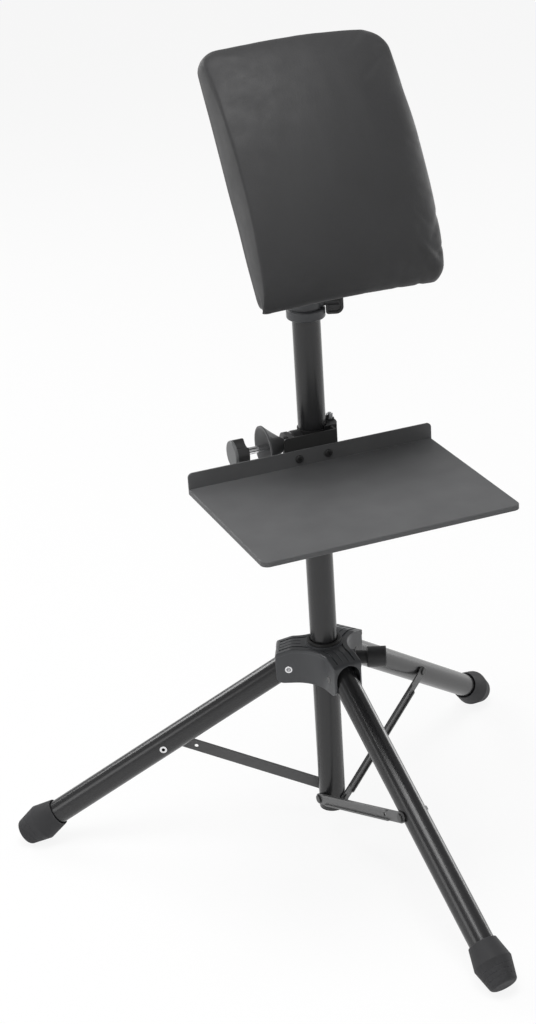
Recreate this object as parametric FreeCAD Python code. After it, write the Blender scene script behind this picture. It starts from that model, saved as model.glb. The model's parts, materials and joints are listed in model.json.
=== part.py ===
import FreeCAD, Part
import os
from math import acos, cos, degrees, radians, sin, sqrt, tan

# Folding arm rest stand: a tripod, a clamped tray and a tilting pad on one column.
# Millimetres. The stand is modelled about the column's axis, with the floor at zero and the
# tray's front towards -Y, and is moved at the end so that the origin is the middle of its footprint.

V = FreeCAD.Vector
X_AXIS = V(1, 0, 0)
Y_AXIS = V(0, 1, 0)
Z_AXIS = V(0, 0, 1)

# Fits, cuts and the tolerance for two points being the same
running_clearance = 0.05
contact_gap = 0.1
cut_overrun = 2.0
same_point = 0.00001

# Column
column_diameter = 30.0
column_wall = 1.5
column_bottom_height = 41.0
column_top_height = 642.0
column_plug_depth = 25.0
column_plug_rim = 1.5
column_plug_rim_round = 0.8

# Hub that slides on the column
hub_pivot_radius = 40.0
hub_arm_width = 35.0
hub_arm_reach = 54.5
hub_depth_below_pivot = 16.5
hub_rise_above_pivot = 25.4
hub_arm_end_rise = 19.4
hub_level_reach = 36.0
hub_end_round_top = 5.0
hub_end_round_bottom = 9.0
hub_slope_round = 14.0
hub_corner_round = 2.0
hub_web_round = 40.0
hub_ring_radius = 21.0
hub_ring_height = 2.0
hub_edge_round = 1.6
hub_border_height = 4.5
hub_border_step = 0.6
hub_channel_inset = 5.8
hub_channel_width = 2.4
hub_channel_depth = 1.5
hub_channel_ring_gap = 0.6
hub_slot_clearance = 0.4
hub_slot_inner_reach = 22.6
hub_arch_rise = 3.6
hub_groove_width = 1.6
hub_groove_depth = 0.8
hub_groove_pitch = 7.0
hub_groove_start = 26.0
hub_groove_margin = 4.5
hub_grooves = 2
hub_boss_radius = 9.0
hub_boss_reach = 34.5
bushing_wall = 2.5
bushing_flange_reach = 1.2
bushing_flange_height = 3.0
bushing_cup_width = 1.2
bushing_cup_depth = 2.0

# Hub lock screw and knob
lock_height_above_pivot = 4.5
lock_screw_radius = 4.0
lock_screw_hole_gap = 0.3
lock_screw_depth_in_knob = 26.0
lock_insert_radius = 6.0
lock_insert_length = 12.0
lock_knob_gap = 0.4
lock_knob_neck_radius = 7.5
lock_knob_neck_length = 12.0
lock_knob_radius = 11.8
lock_knob_length = 21.5
lock_knob_round = 1.5
lock_knob_rim = 1.8
lock_knob_recess = 1.0

# Legs and their pivot rivets
leg_diameter = 28.0
leg_wall = 1.5
leg_length = 336.0
leg_slope = 33.7
leg_inboard = 5.5
leg_plug_rim = 1.2
leg_plug_rim_step = 0.5
leg_plug_depth = 16.0
front_leg_bearing = -85.1
leg_rivet_radius = 3.2
leg_rivet_head_radius = 4.3
leg_rivet_head_height = 1.5
leg_rivet_hollow = 2.6
leg_rivet_hollow_depth = 8.0
leg_rivet_recess = 1.8

# Rubber foot caps
cap_length = 49.2
cap_socket_depth = 36.0
cap_mouth_radius = 16.2
cap_mouth_gap = 1.4
cap_mouth_gap_depth = 4.0
cap_shoulder_radius = 21.2
cap_shoulder_depth = 23.3
cap_shoulder_round = 1.0
cap_end_radius = 15.0
cap_end_round = 4.5
cap_groove_depth = 0.4
cap_groove_width = 0.9
cap_groove_pitch = 5.2
cap_groove_start = 31.0
cap_grooves = 3

# Braces and their rivets
brace_mount_distance = 178.0
brace_low_height = 52.5
brace_width = 12.5
brace_thickness = 1.8
brace_lip = 2.0
brace_lip_setback = 14.0
brace_leg_end_setback = 28.0
brace_spare_hole_setback = 37.0
brace_spare_hole_radius = 2.25
brace_column_gap = 0.4
brace_rivet_radius = 3.0
brace_rivet_head_radius = 5.0
brace_rivet_head_height = 1.8
brace_rivet_head_round = 1.0
brace_rivet_depth = 7.0
brace_shoulder_radius = 5.4
brace_leg_gap = 0.2
sleeve_radius = 3.0
sleeve_bore = 2.0
sleeve_head_radius = 4.2
sleeve_head_height = 1.2
sleeve_end_gap = 0.2

# Collar on the column's top, with the post lock
collar_overlap = 11.5
collar_ring_radius = 20.5
collar_ring_height = 11.0
collar_ring_round = 2.0
collar_barrel_radius = 16.7
collar_barrel_height = 22.5
collar_barrel_round = 1.5
collar_boss_radius = 7.0
collar_boss_reach = 18.6
post_lock_bearing = -22.2
post_lock_rise = 16.5
post_lock_screw_radius = 3.0
post_lock_screw_end = 34.0
post_lock_insert_radius = 4.6
post_lock_insert_length = 5.0
wing_ring_gap = 0.5
wing_neck_radius = 4.8
wing_height = 27.0
wing_reach = 39.6
wing_thickness = 8.0
wing_outer_round = 8.0
wing_inner_round = 3.0
wing_recess_depth = 1.8
wing_rim = 2.4

# Inner post
post_diameter = 25.0
post_wall = 1.5
post_length = 394.0
post_exposed = 26.0
post_guide_length = 30.0
post_guide_floor = 2.0
post_guide_hole = 8.0

# Tilt head
socket_wall = 3.5
socket_height = 50.0
socket_depth = 45.0
socket_round = 1.5
lug_width = 25.0
lug_radius = 12.5
lug_rise = 29.5
set_screw_rise = 15.0
set_screw_radius = 3.0
set_screw_length = 4.0
set_screw_hex_radius = 1.7
set_screw_hex_depth = 2.0

# Tilt bracket, its bolt and its knob
bracket_plate_width = 90.0
bracket_plate_height = 70.0
bracket_plate_thickness = 2.5
bracket_plate_round = 8.0
bracket_ear_thickness = 3.0
bracket_ear_gap = 0.2
bracket_ear_base = 44.0
bracket_ear_radius = 12.0
tilt_bolt_radius = 4.0
tilt_bolt_head_radius = 7.5
tilt_bolt_head_height = 4.5
tilt_bolt_head_round = 2.0
tilt_washer_radius = 8.5
tilt_washer_thickness = 1.6
tilt_knob_radius = 15.5
tilt_knob_length = 17.0
tilt_knob_flute_radius = 4.6
tilt_knob_flute_depth = 2.5
tilt_knob_lobes = 6
tilt_insert_radius = 6.0
tilt_insert_length = 13.0

# Pad
pad_tilt = 58.4
pad_back_distance = 50.0
pad_side_shift = 4.5
pad_width = 199.0
pad_height = 262.0
pad_edge_thickness = 18.0
pad_crown_across = 17.0
pad_crown_along = 24.0
pad_corner_round = 20.0
pad_edge_round = 9.0
pad_side_draw_in = 2.5
pad_corner_steps = 6
pad_middle_steps = 8
pad_board_margin = 6.0
pad_board_thickness = 12.0
pad_cover_thickness = 0.8
pad_cover_margin = 14.0
pad_screw_spacing_across = 70.0
pad_screw_spacing_along = 50.0
pad_screw_radius = 3.0
pad_screw_head_radius = 5.5
pad_screw_head_height = 3.3
pad_screw_head_round = 1.2
pad_nut_barrel_radius = 4.2
pad_nut_barrel_length = 9.0
pad_nut_flange_radius = 9.0
pad_nut_flange = 1.2

# Tray
tray_height = 478.4
tray_width = 279.0
tray_depth = 204.8
tray_side_offset = -13.3
tray_back_distance = 27.0
tray_sheet = 1.5
tray_rim = 5.5
tray_upstand = 17.9
tray_corner_round = 8.0
tray_bend_round = 1.2
tray_upstand_round = 5.0

# Tray clamp: plate, body and jaw
clamp_plate_left = 43.3
clamp_plate_right = 16.5
clamp_plate_thickness = 2.0
clamp_plate_rise = 32.7
clamp_return_depth = 13.0
clamp_corner_round = 3.0
clamp_shelf_left = 2.0
clamp_shelf_right = 30.0
clamp_shelf_back = 9.0
clamp_axis_rise = 16.5
clamp_body_height = 24.8
clamp_web_depth = 8.5
clamp_arm_outer = 33.5
clamp_arm_thickness = 5.5
jaw_radius = 26.5
jaw_rise = 4.0
jaw_front_bearing = -60.0
jaw_back_bearing = 70.0
liner_wall = 1.2
liner_slit = 3.0
liner_flange_reach = 2.5
liner_flange_height = 1.2
liner_rise = 1.0
shelf_liner_gap = 0.4

# Tray clamp: screws, bell, bolt and knob
tray_screw_left = 28.0
tray_screw_right = 5.3
tray_screw_rise = 8.2
tray_screw_radius = 2.5
tray_screw_length = 10.0
tray_screw_head_radius = 4.4
tray_screw_head_height = 2.2
tray_screw_head_round = 1.4
tray_screw_slot_width = 1.1
tray_screw_slot_depth = 1.2
jaw_pin_x = 22.0
jaw_pin_y = 3.0
jaw_pin_radius = 2.0
jaw_pin_head_radius = 3.6
jaw_pin_head_height = 2.4
jaw_pin_tip = 1.5
jaw_washer_radius = 4.8
jaw_washer_thickness = 1.2
jaw_nut_flats = 7.0
jaw_nut_height = 4.5
bell_neck_radius = 6.5
bell_mouth_radius = 24.0
bell_length = 23.8
bell_flare_start = 1.0
bell_lip = 1.6
bell_dish_depth = 13.0
bell_dish_floor_radius = 8.0
clamp_bolt_radius = 4.0
clamp_insert_radius = 6.0
pressure_pad_radius = 12.4
pressure_pad_outer = 27.0
pressure_pad_inner = 12.0
pressure_pad_round = 4.0
bolt_tip_depth = 5.0
star_knob_gap = 20.1
star_knob_length = 16.1
star_knob_radius = 15.0
star_knob_lobes = 3
star_knob_turn = 40.0
star_knob_disc = 3.0
star_knob_flute_radius = 9.5
star_knob_flute_depth = 7.5
star_knob_bolt_depth = 12.0
knob_edge_round = 1.5
bell_bow_share = 0.02
tray_screw_slot_share = 0.62


def rod(radius, length, base, direction):
    """A solid cylinder from a base point along a direction."""
    return Part.makeCylinder(radius, length, base, direction)


def through_rod(radius, length, base, direction):
    """A cylinder for cutting, longer than its hole at both ends."""
    return rod(radius, length + 2 * cut_overrun, base - direction * cut_overrun, direction)


def pipe(outer, inner, length, base, direction):
    """A round tube, open at both ends."""
    return rod(outer, length, base, direction).cut(through_rod(inner, length, base, direction))


def block(low, high):
    """A box between two corners."""
    size = high - low
    return Part.makeBox(size.x, size.y, size.z, low)


def outline(corners, rounds):
    """A closed wire of straight lines, with an arc of its own radius at each corner."""
    edges = []
    marks = []
    count = len(corners)
    for i in range(count):
        here = corners[i]
        if rounds[i] == 0:
            marks.append((here, here))
            continue
        back = (corners[i - 1] - here).normalize()
        ahead = (corners[(i + 1) % count] - here).normalize()
        half = back.getAngle(ahead) / 2
        run = rounds[i] / tan(half)
        inward = (back + ahead).normalize()
        middle = here + inward * (rounds[i] / sin(half) - rounds[i])
        start, end = here + back * run, here + ahead * run
        edges.append(Part.Arc(start, middle, end).toShape())
        marks.append((start, end))
    for i in range(count):
        start, end = marks[i - 1][1], marks[i][0]
        if start.distanceToPoint(end) > same_point:
            edges.append(Part.LineSegment(start, end).toShape())
    return Part.Wire(Part.__sortEdges__(edges))


def prism(corners, rounds, travel):
    """A rounded outline swept straight along a vector."""
    return Part.Face(outline(corners, rounds)).extrude(travel)


def plate(width, depth, thickness, low_z, corner_round):
    """A flat plate about the Z axis with four equal rounded corners."""
    half_x, half_y = width / 2, depth / 2
    corners = [V(-half_x, -half_y, low_z), V(half_x, -half_y, low_z)]
    corners += [V(half_x, half_y, low_z), V(-half_x, half_y, low_z)]
    return prism(corners, [corner_round] * 4, V(0, 0, thickness))


def placed(shape, base, direction):
    """A shape modelled up the Z axis, set at a base point along a direction."""
    shape.Placement = FreeCAD.Placement(base, FreeCAD.Rotation(Z_AXIS, direction))
    return shape


def turned(points, rounds, base, direction):
    """A turned solid: each point is a distance along the axis and a radius."""
    corners = [V(radius, 0, along) for along, radius in points]
    face = Part.Face(outline(corners, rounds))
    return placed(face.revolve(V(0, 0, 0), Z_AXIS, 360), base, direction)


def round_head(radius, height, edge_round, base, direction):
    """A screw or rivet head with a rounded outer edge."""
    points = [(0, 0), (0, radius), (height, radius), (height, 0)]
    return turned(points, [0, 0, edge_round, 0], base, direction)


def knob_blank(radius, length):
    """A round knob body along Z, with rounded edges."""
    points = [(0, 0), (0, radius), (length, radius), (length, 0)]
    return turned(points, [0, knob_edge_round, knob_edge_round, 0], V(0, 0, 0), Z_AXIS)


def fluted(knob, radius, depth, length, lobes, turn):
    """A knob body with scooped flutes between its lobes, over a length from its base."""
    centre = V(knob.BoundBox.XMax - depth + radius, 0, -cut_overrun)
    flute = rod(radius, length + cut_overrun, centre, Z_AXIS)
    for i in range(lobes):
        knob = knob.cut(about_column(flute, 360 * (i + 1 / 2) / lobes + turn))
    return knob


def about_column(shape, bearing):
    """A copy of the shape, turned about the column's axis."""
    copy = shape.copy()
    copy.rotate(V(0, 0, 0), Z_AXIS, bearing)
    return copy


def towards(bearing):
    """The level direction of a bearing."""
    return V(cos(radians(bearing)), sin(radians(bearing)), 0)


def cap_contact_depth():
    """How far a standing foot cap reaches below the middle of its mouth."""
    taper = (cap_shoulder_radius - cap_end_radius) / (cap_length - cap_shoulder_depth)
    arc_along = cap_length - cap_end_round
    arc_out = cap_end_radius + taper * cap_end_round - cap_end_round * sqrt(1 + taper ** 2)
    slope = radians(leg_slope)
    return arc_along * sin(slope) + arc_out * cos(slope) + cap_end_round


# Radii that follow from the tubes
column_radius = column_diameter / 2
column_bore = column_radius - column_wall
leg_radius = leg_diameter / 2
leg_bore = leg_radius - leg_wall
post_radius = post_diameter / 2
post_bore = post_radius - post_wall
socket_radius = post_radius + socket_wall
bushing_radius = column_radius + running_clearance + bushing_wall
liner_radius = column_radius + running_clearance + liner_wall

# The legs stand on the floor, and the hub's heights follow from them
leg_pivot_height = leg_length * sin(radians(leg_slope)) + cap_contact_depth()
hub_bottom = leg_pivot_height - hub_depth_below_pivot
hub_top = leg_pivot_height + hub_rise_above_pivot
hub_slope = (hub_rise_above_pivot - hub_arm_end_rise) / (hub_arm_reach - hub_level_reach)
hub_lock_height = leg_pivot_height + lock_height_above_pivot
hub_slot_half = leg_radius + hub_slot_clearance
leg_pivot = V(hub_pivot_radius, 0, leg_pivot_height)
leg_direction = V(cos(radians(leg_slope)), 0, -sin(radians(leg_slope)))
leg_bearings = {"left": front_leg_bearing + 240, "front": front_leg_bearing}
leg_bearings["right"] = front_leg_bearing + 120
hub_lock_bearing = front_leg_bearing + 60

# Each brace runs from the column's foot to its leg, in a plane beside both
brace_mount = leg_pivot + leg_direction * brace_mount_distance
brace_rise = brace_mount.z - brace_low_height
brace_length = sqrt(brace_mount.x ** 2 + brace_rise ** 2)
brace_slope = degrees(acos(brace_mount.x / brace_length))
brace_inner = column_radius + brace_column_gap
brace_outer = brace_inner + brace_thickness

# How far the fold moves: the hub climbs, and legs and braces close along the column
leg_fold = 90 - leg_slope
brace_folded_slope = degrees(acos(hub_pivot_radius / brace_length))
brace_fold = brace_folded_slope - brace_slope
folded_mount_height = brace_low_height + brace_length * sin(radians(brace_folded_slope))
hub_travel = folded_mount_height + brace_mount_distance - leg_pivot_height

# Heights on the upper column
collar_bottom = column_top_height - collar_overlap
collar_shoulder = collar_bottom + collar_ring_height
collar_top = collar_shoulder + collar_barrel_height
post_lock_height = collar_bottom + post_lock_rise
socket_bottom = collar_top + post_exposed
socket_top = socket_bottom + socket_height
post_top = socket_bottom + socket_depth
post_bottom = post_top - post_length
tilt_axis_height = socket_top + lug_rise

# Places in the tilt bracket, measured from the tilt axis towards the pad
bracket_face = pad_back_distance - pad_cover_thickness
bracket_back = bracket_face - bracket_plate_thickness
ear_inner = lug_width / 2 + bracket_ear_gap
ear_outer = ear_inner + bracket_ear_thickness
knob_seat = ear_outer + tilt_washer_thickness

# Places in the tray clamp
tray_back = -tray_back_distance
plate_back = tray_back + clamp_plate_thickness
web_back = plate_back + clamp_web_depth
clamp_axis_height = tray_height + clamp_axis_rise
clamp_bottom = clamp_axis_height - clamp_body_height / 2
clamp_top = clamp_bottom + clamp_body_height
jaw_top = clamp_top + jaw_rise
shelf_bottom = clamp_bottom - clamp_plate_thickness
return_back = tray_back + clamp_return_depth
bell_mouth_x = -clamp_arm_outer - bell_length
star_knob_x = bell_mouth_x - star_knob_gap


def cross_hole(radius, centre):
    """A hole from side to side through a leg or an arm that lies along X."""
    half = hub_arm_width / 2 + cut_overrun
    return rod(radius, 2 * half, centre - Y_AXIS * half, Y_AXIS)


def column_tube():
    tube = pipe(column_radius, column_bore, column_top_height - column_bottom_height,
                V(0, 0, column_bottom_height), Z_AXIS)
    hole = rod(brace_rivet_radius + running_clearance, column_diameter,
               V(0, 0, brace_low_height), -Y_AXIS)
    for bearing in leg_bearings.values():
        tube = tube.cut(about_column(hole, bearing))
    return tube


def column_bottom_plug():
    """A plastic plug whose rim closes the column's lower end, holed for the rivets."""
    plug = turned([(0, 0), (0, column_radius), (column_plug_rim, column_radius),
                   (column_plug_rim, 0)], [0, column_plug_rim_round, 0, 0],
                  V(0, 0, column_bottom_height - column_plug_rim), Z_AXIS)
    plug = plug.fuse(rod(column_bore - running_clearance, column_plug_depth,
                         V(0, 0, column_bottom_height), Z_AXIS))
    depth = column_radius - brace_rivet_depth
    hole = rod(brace_rivet_radius, column_radius, V(0, -depth, brace_low_height), -Y_AXIS)
    for bearing in leg_bearings.values():
        plug = plug.cut(about_column(hole, bearing))
    return plug


def brace_column_rivets():
    """Three short rivets on which the braces turn at the column's foot."""
    head_face = brace_outer + contact_gap
    tip = column_radius - brace_rivet_depth
    shank = rod(brace_rivet_radius, head_face - tip, V(0, -tip, brace_low_height), -Y_AXIS)
    head = round_head(brace_rivet_head_radius, brace_rivet_head_height, brace_rivet_head_round,
                      V(0, -head_face, brace_low_height), -Y_AXIS)
    rivet = shank.fuse(head)
    return Part.makeCompound([about_column(rivet, b) for b in leg_bearings.values()])


def hub_arm_trim(reach, round_bottom, round_top):
    """What lies outside an arm's side profile: its sloping top and its end's two roundings."""
    half = hub_arm_width / 2 + cut_overrun
    level = V(hub_level_reach, -half, hub_top)
    end_top = V(reach, -half, hub_top - hub_slope * (reach - hub_level_reach))
    corners = [V(0, -half, hub_bottom), V(reach, -half, hub_bottom), end_top, level]
    corners.append(V(0, -half, hub_top))
    profile = prism(corners, [0, round_bottom, round_top, hub_slope_round, 0], V(0, 2 * half, 0))
    low = V(hub_groove_start, -half, hub_bottom - cut_overrun)
    high = V(reach + cut_overrun, half, hub_top + cut_overrun)
    return block(low, high).cut(profile)


def hub_leg_slot():
    """The arched slot in which a leg's upper end swings."""
    low = V(hub_slot_inner_reach, -hub_slot_half, hub_bottom - cut_overrun)
    arch_height = leg_pivot_height + hub_arch_rise
    high = V(hub_arm_reach + cut_overrun, hub_slot_half, arch_height)
    arch = rod(hub_slot_half, high.x - low.x, V(low.x, 0, arch_height), X_AXIS)
    return block(low, high).fuse(arch)


def hub_arm_grooves():
    """Long grooves in an arm's top, which follow its slope and stop before its end."""
    run = hub_arm_reach - hub_groove_margin - hub_level_reach
    slope_end = V(hub_level_reach + run, 0, hub_top - hub_slope * run)
    top_start = V(hub_groove_start, 0, hub_top)
    top_bend = V(hub_level_reach, 0, hub_top)
    sink = V(0, 0, -hub_groove_depth)
    lift = V(0, 0, cut_overrun)
    grooves = []
    for i in range(hub_grooves):
        side = (i - (hub_grooves - 1) / 2) * hub_groove_pitch - hub_groove_width / 2
        aside = V(0, side, 0)
        points = [top_start + sink, top_bend + sink, slope_end + sink]
        points += [slope_end + lift, top_bend + lift, top_start + lift]
        points = [point + aside for point in points]
        grooves.append(prism(points, [0] * 6, V(0, hub_groove_width, 0)))
    return Part.makeCompound(grooves)


def hub_outline(inset, reach):
    """The three arms and the webs between them, seen from above, with their sides set in."""
    half = hub_arm_width / 2 - inset
    corners = []
    for bearing in sorted(leg_bearings.values()):
        along, across = towards(bearing), towards(bearing + 90)
        inner = towards(bearing + 60) * (half / sin(radians(60)))
        corners += [along * reach - across * half, along * reach + across * half, inner]
    corners = [corner + V(0, 0, hub_bottom) for corner in corners]
    return outline(corners, [hub_corner_round, hub_corner_round, hub_web_round + inset] * 3)


def hub_raised(face_outline, trim):
    """An outline raised to the hub's height, with each arm trimmed."""
    form = Part.Face(face_outline).extrude(V(0, 0, hub_top - hub_bottom))
    for bearing in leg_bearings.values():
        form = form.cut(about_column(trim, bearing))
    return form


def hub_form(inset, lift):
    """The hub's plain form with its sides set in, lifted as a whole."""
    trim = hub_arm_trim(hub_arm_reach, hub_end_round_bottom, hub_end_round_top)
    form = hub_raised(hub_outline(inset, hub_arm_reach), trim)
    form.translate(V(0, 0, lift))
    return form


def hub_softened_top():
    """A form with longer arms whose top edges are rounded, so that the rounding runs past the hub."""
    reach = hub_arm_reach + hub_arm_width
    long_outline = hub_outline(0, reach)
    form = hub_raised(long_outline, hub_arm_trim(reach, 0, 0))
    walls = long_outline.extrude(V(0, 0, hub_top - hub_bottom))
    edges = []
    for edge in form.Edges:
        middle = edge.valueAt((edge.FirstParameter + edge.LastParameter) / 2)
        upright = edge.BoundBox.DiagonalLength - edge.BoundBox.ZLength < same_point
        on_wall = walls.distToShape(Part.Vertex(middle))[0] < same_point
        if on_wall and not upright and middle.z > leg_pivot_height:
            edges.append(edge)
    return form.makeFillet(hub_edge_round, edges)


def hub_channel():
    """The channel beside the hub's border, from arm to arm past the ring."""
    channel = hub_form(hub_channel_inset, cut_overrun)
    channel = channel.cut(hub_form(hub_channel_inset + hub_channel_width, cut_overrun))
    channel = channel.cut(hub_form(0, -hub_channel_depth))
    channel = channel.cut(through_rod(hub_ring_radius + hub_channel_ring_gap, hub_top - hub_bottom,
                                      V(0, 0, hub_bottom), Z_AXIS))
    half = hub_arm_width / 2
    low = V(hub_arm_reach - hub_groove_margin, -half, hub_bottom)
    end = block(low, V(hub_arm_reach + cut_overrun, half, hub_top + 2 * cut_overrun))
    for bearing in leg_bearings.values():
        channel = channel.cut(about_column(end, bearing))
    return channel


def hub_spider():
    """The moulded hub: three slotted arms round a sleeve, with a boss for the lock screw."""
    half = hub_arm_width / 2
    lowered = hub_form(0, -hub_border_height)
    border = hub_softened_top().common(hub_form(0, 0)).cut(lowered)
    walls = hub_form(hub_border_step, 0).common(lowered)
    hub = border.fuse(walls).cut(hub_channel())
    pivot_hole = cross_hole(leg_rivet_radius + running_clearance, leg_pivot)
    seat = rod(leg_rivet_head_radius + running_clearance, leg_rivet_recess + cut_overrun,
               leg_pivot + Y_AXIS * (half - leg_rivet_recess), Y_AXIS)
    far_seat = seat.mirror(V(0, 0, 0), Y_AXIS)
    cuts = [hub_leg_slot(), hub_arm_grooves(), pivot_hole, seat, far_seat]
    for bearing in leg_bearings.values():
        for cut in cuts:
            hub = hub.cut(about_column(cut, bearing))
    hub = hub.fuse(rod(hub_ring_radius, hub_ring_height, V(0, 0, hub_top), Z_AXIS))
    out = towards(hub_lock_bearing)
    centre = V(0, 0, hub_lock_height)
    hub = hub.fuse(rod(hub_boss_radius, hub_boss_reach, centre, out))
    insert_start = hub_boss_reach - lock_insert_length
    hub = hub.cut(rod(lock_insert_radius, lock_insert_length + cut_overrun,
                      centre + out * insert_start, out))
    hub = hub.cut(rod(lock_screw_radius + lock_screw_hole_gap, hub_boss_reach, centre, out))
    bore = through_rod(bushing_radius + running_clearance, hub_top - hub_bottom + hub_ring_height,
                       V(0, 0, hub_bottom), Z_AXIS)
    return hub.cut(bore).removeSplitter()


def hub_bushing():
    """The flanged nylon liner that runs on the column: cupped at its mouth, holed for the lock screw."""
    length = hub_top + hub_ring_height - hub_bottom
    liner = rod(bushing_radius, length, V(0, 0, hub_bottom), Z_AXIS)
    liner = liner.fuse(rod(bushing_radius + bushing_flange_reach, bushing_flange_height,
                           V(0, 0, hub_bottom + length), Z_AXIS))
    liner = liner.cut(through_rod(column_radius + running_clearance, length + bushing_flange_height,
                                  V(0, 0, hub_bottom), Z_AXIS))
    cup_floor = V(0, 0, hub_bottom + length + bushing_flange_height - bushing_cup_depth)
    liner = liner.cut(rod(column_radius + running_clearance + bushing_cup_width,
                          bushing_cup_depth + cut_overrun, cup_floor, Z_AXIS))
    return liner.cut(rod(lock_screw_radius + lock_screw_hole_gap, hub_boss_reach,
                         V(0, 0, hub_lock_height), towards(hub_lock_bearing)))


def hub_lock_insert():
    out = towards(hub_lock_bearing)
    start = V(0, 0, hub_lock_height) + out * (hub_boss_reach - lock_insert_length)
    return pipe(lock_insert_radius, lock_screw_radius + running_clearance, lock_insert_length, start, out)


def hub_lock_screw():
    out = towards(hub_lock_bearing)
    tip = column_radius + contact_gap
    end = hub_boss_reach + lock_knob_gap + lock_screw_depth_in_knob
    return rod(lock_screw_radius, end - tip, V(0, 0, hub_lock_height) + out * tip, out)


def hub_lock_knob():
    """A plain round knob on a narrower neck, with a shallow recess inside its end rim."""
    neck, body = lock_knob_neck_length, lock_knob_neck_length + lock_knob_length
    recess_radius = lock_knob_radius - lock_knob_rim
    points = [(0, lock_screw_radius + running_clearance), (0, lock_knob_neck_radius)]
    points += [(neck, lock_knob_neck_radius), (neck, lock_knob_radius), (body, lock_knob_radius)]
    points += [(body, recess_radius), (body - lock_knob_recess, recess_radius)]
    points += [(body - lock_knob_recess, 0), (lock_screw_depth_in_knob, 0)]
    points.append((lock_screw_depth_in_knob, lock_screw_radius + running_clearance))
    rounds = [0, 0, 0, lock_knob_round, lock_knob_recess / 2, 0, 0, 0, 0, 0]
    out = towards(hub_lock_bearing)
    base = V(0, 0, hub_lock_height) + out * (hub_boss_reach + lock_knob_gap)
    return turned(points, rounds, base, out)


def hub_pivot_rivets():
    """Three long rivets across the hub's arms, hollow at the clinched end."""
    half = hub_arm_width / 2 - leg_rivet_recess
    rivet = rod(leg_rivet_radius, 2 * half, leg_pivot - Y_AXIS * half, Y_AXIS)
    for side in (Y_AXIS, -Y_AXIS):
        head = round_head(leg_rivet_head_radius, leg_rivet_head_height, leg_rivet_head_height / 2,
                          leg_pivot + side * half, side)
        rivet = rivet.fuse(head)
    end = leg_pivot + Y_AXIS * (half + leg_rivet_head_height)
    rivet = rivet.cut(rod(leg_rivet_hollow, leg_rivet_hollow_depth, end, -Y_AXIS))
    return Part.makeCompound([about_column(rivet, b) for b in leg_bearings.values()])


def leg_tube():
    length = leg_inboard + leg_length + cap_socket_depth
    tube = pipe(leg_radius, leg_bore, length, leg_pivot - leg_direction * leg_inboard, leg_direction)
    tube = tube.cut(cross_hole(leg_rivet_radius + running_clearance, leg_pivot))
    return tube.cut(cross_hole(sleeve_radius + running_clearance, brace_mount))


def leg_pivot_plug():
    """The plug in a leg's upper end, which keeps the rivet from crushing the tube."""
    mouth = leg_pivot - leg_direction * leg_inboard
    plug = rod(leg_bore - running_clearance, leg_plug_depth, mouth, leg_direction)
    plug = plug.fuse(rod(leg_radius - leg_plug_rim_step, leg_plug_rim, mouth, -leg_direction))
    return plug.cut(cross_hole(leg_rivet_radius + running_clearance, leg_pivot))


def foot_cap():
    """A rubber cap: widest at its middle, ringed towards its end, with a socket for the leg."""
    mouth = leg_pivot + leg_direction * leg_length
    points = [(0, 0), (0, cap_mouth_radius), (cap_shoulder_depth, cap_shoulder_radius)]
    points += [(cap_length, cap_end_radius), (cap_length, 0)]
    cap = turned(points, [0, 0, cap_shoulder_round, cap_end_round, 0], mouth, leg_direction)
    taper = (cap_shoulder_radius - cap_end_radius) / (cap_length - cap_shoulder_depth)
    for i in range(cap_grooves):
        along = cap_groove_start + i * cap_groove_pitch
        floor = cap_shoulder_radius - taper * (along - cap_shoulder_depth) - cap_groove_depth
        cap = cap.cut(pipe(cap_shoulder_radius + cut_overrun, floor, cap_groove_width,
                           mouth + leg_direction * along, leg_direction))
    cap = cap.cut(rod(leg_radius + running_clearance, cap_socket_depth, mouth, leg_direction))
    return cap.cut(rod(leg_radius + cap_mouth_gap, cap_mouth_gap_depth, mouth, leg_direction))


def brace_sleeve():
    """The hollow rivet fixed in a leg at the brace's mount."""
    near = leg_radius - sleeve_end_gap
    far = leg_radius + sleeve_head_height
    head = rod(sleeve_head_radius, far - leg_bore, brace_mount + Y_AXIS * leg_bore, Y_AXIS)
    head = head.cut(through_rod(leg_radius, 2 * sleeve_head_radius,
                                brace_mount - leg_direction * sleeve_head_radius, leg_direction))
    sleeve = rod(sleeve_radius, near + leg_radius, brace_mount - Y_AXIS * near, Y_AXIS).fuse(head)
    bore = through_rod(sleeve_bore, near + far, brace_mount - Y_AXIS * near, Y_AXIS)
    return sleeve.cut(bore)


def brace():
    """A pressed strip with two lips, flat and round at its ends, with a spare hole near the leg."""
    half = brace_width / 2
    face = -brace_inner
    corners = [V(-half, face, -half), V(brace_length + half, face, -half)]
    corners += [V(brace_length + half, face, half), V(-half, face, half)]
    strip = prism(corners, [half] * 4, V(0, -brace_thickness, 0))
    lip_start, lip_end = brace_lip_setback, brace_length - brace_leg_end_setback
    lip_top = -brace_outer - brace_lip
    for low in (-half, half - brace_thickness):
        points = [V(lip_start, face, low), V(lip_end, face, low), V(lip_end, lip_top, low)]
        points.append(V(lip_start, lip_top, low))
        strip = strip.fuse(prism(points, [0, 0, brace_lip, brace_lip], V(0, 0, brace_thickness)))
    for along in (0, brace_length):
        hole = through_rod(brace_rivet_radius + running_clearance, brace_thickness,
                           V(along, face, 0), -Y_AXIS)
        strip = strip.cut(hole)
    spare_hole = V(brace_length - brace_spare_hole_setback, face, 0)
    strip = strip.cut(through_rod(brace_spare_hole_radius, brace_thickness, spare_hole, -Y_AXIS))
    strip = strip.removeSplitter()
    strip.rotate(V(0, 0, 0), Y_AXIS, -brace_slope)
    strip.translate(V(0, 0, brace_low_height))
    return strip


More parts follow.
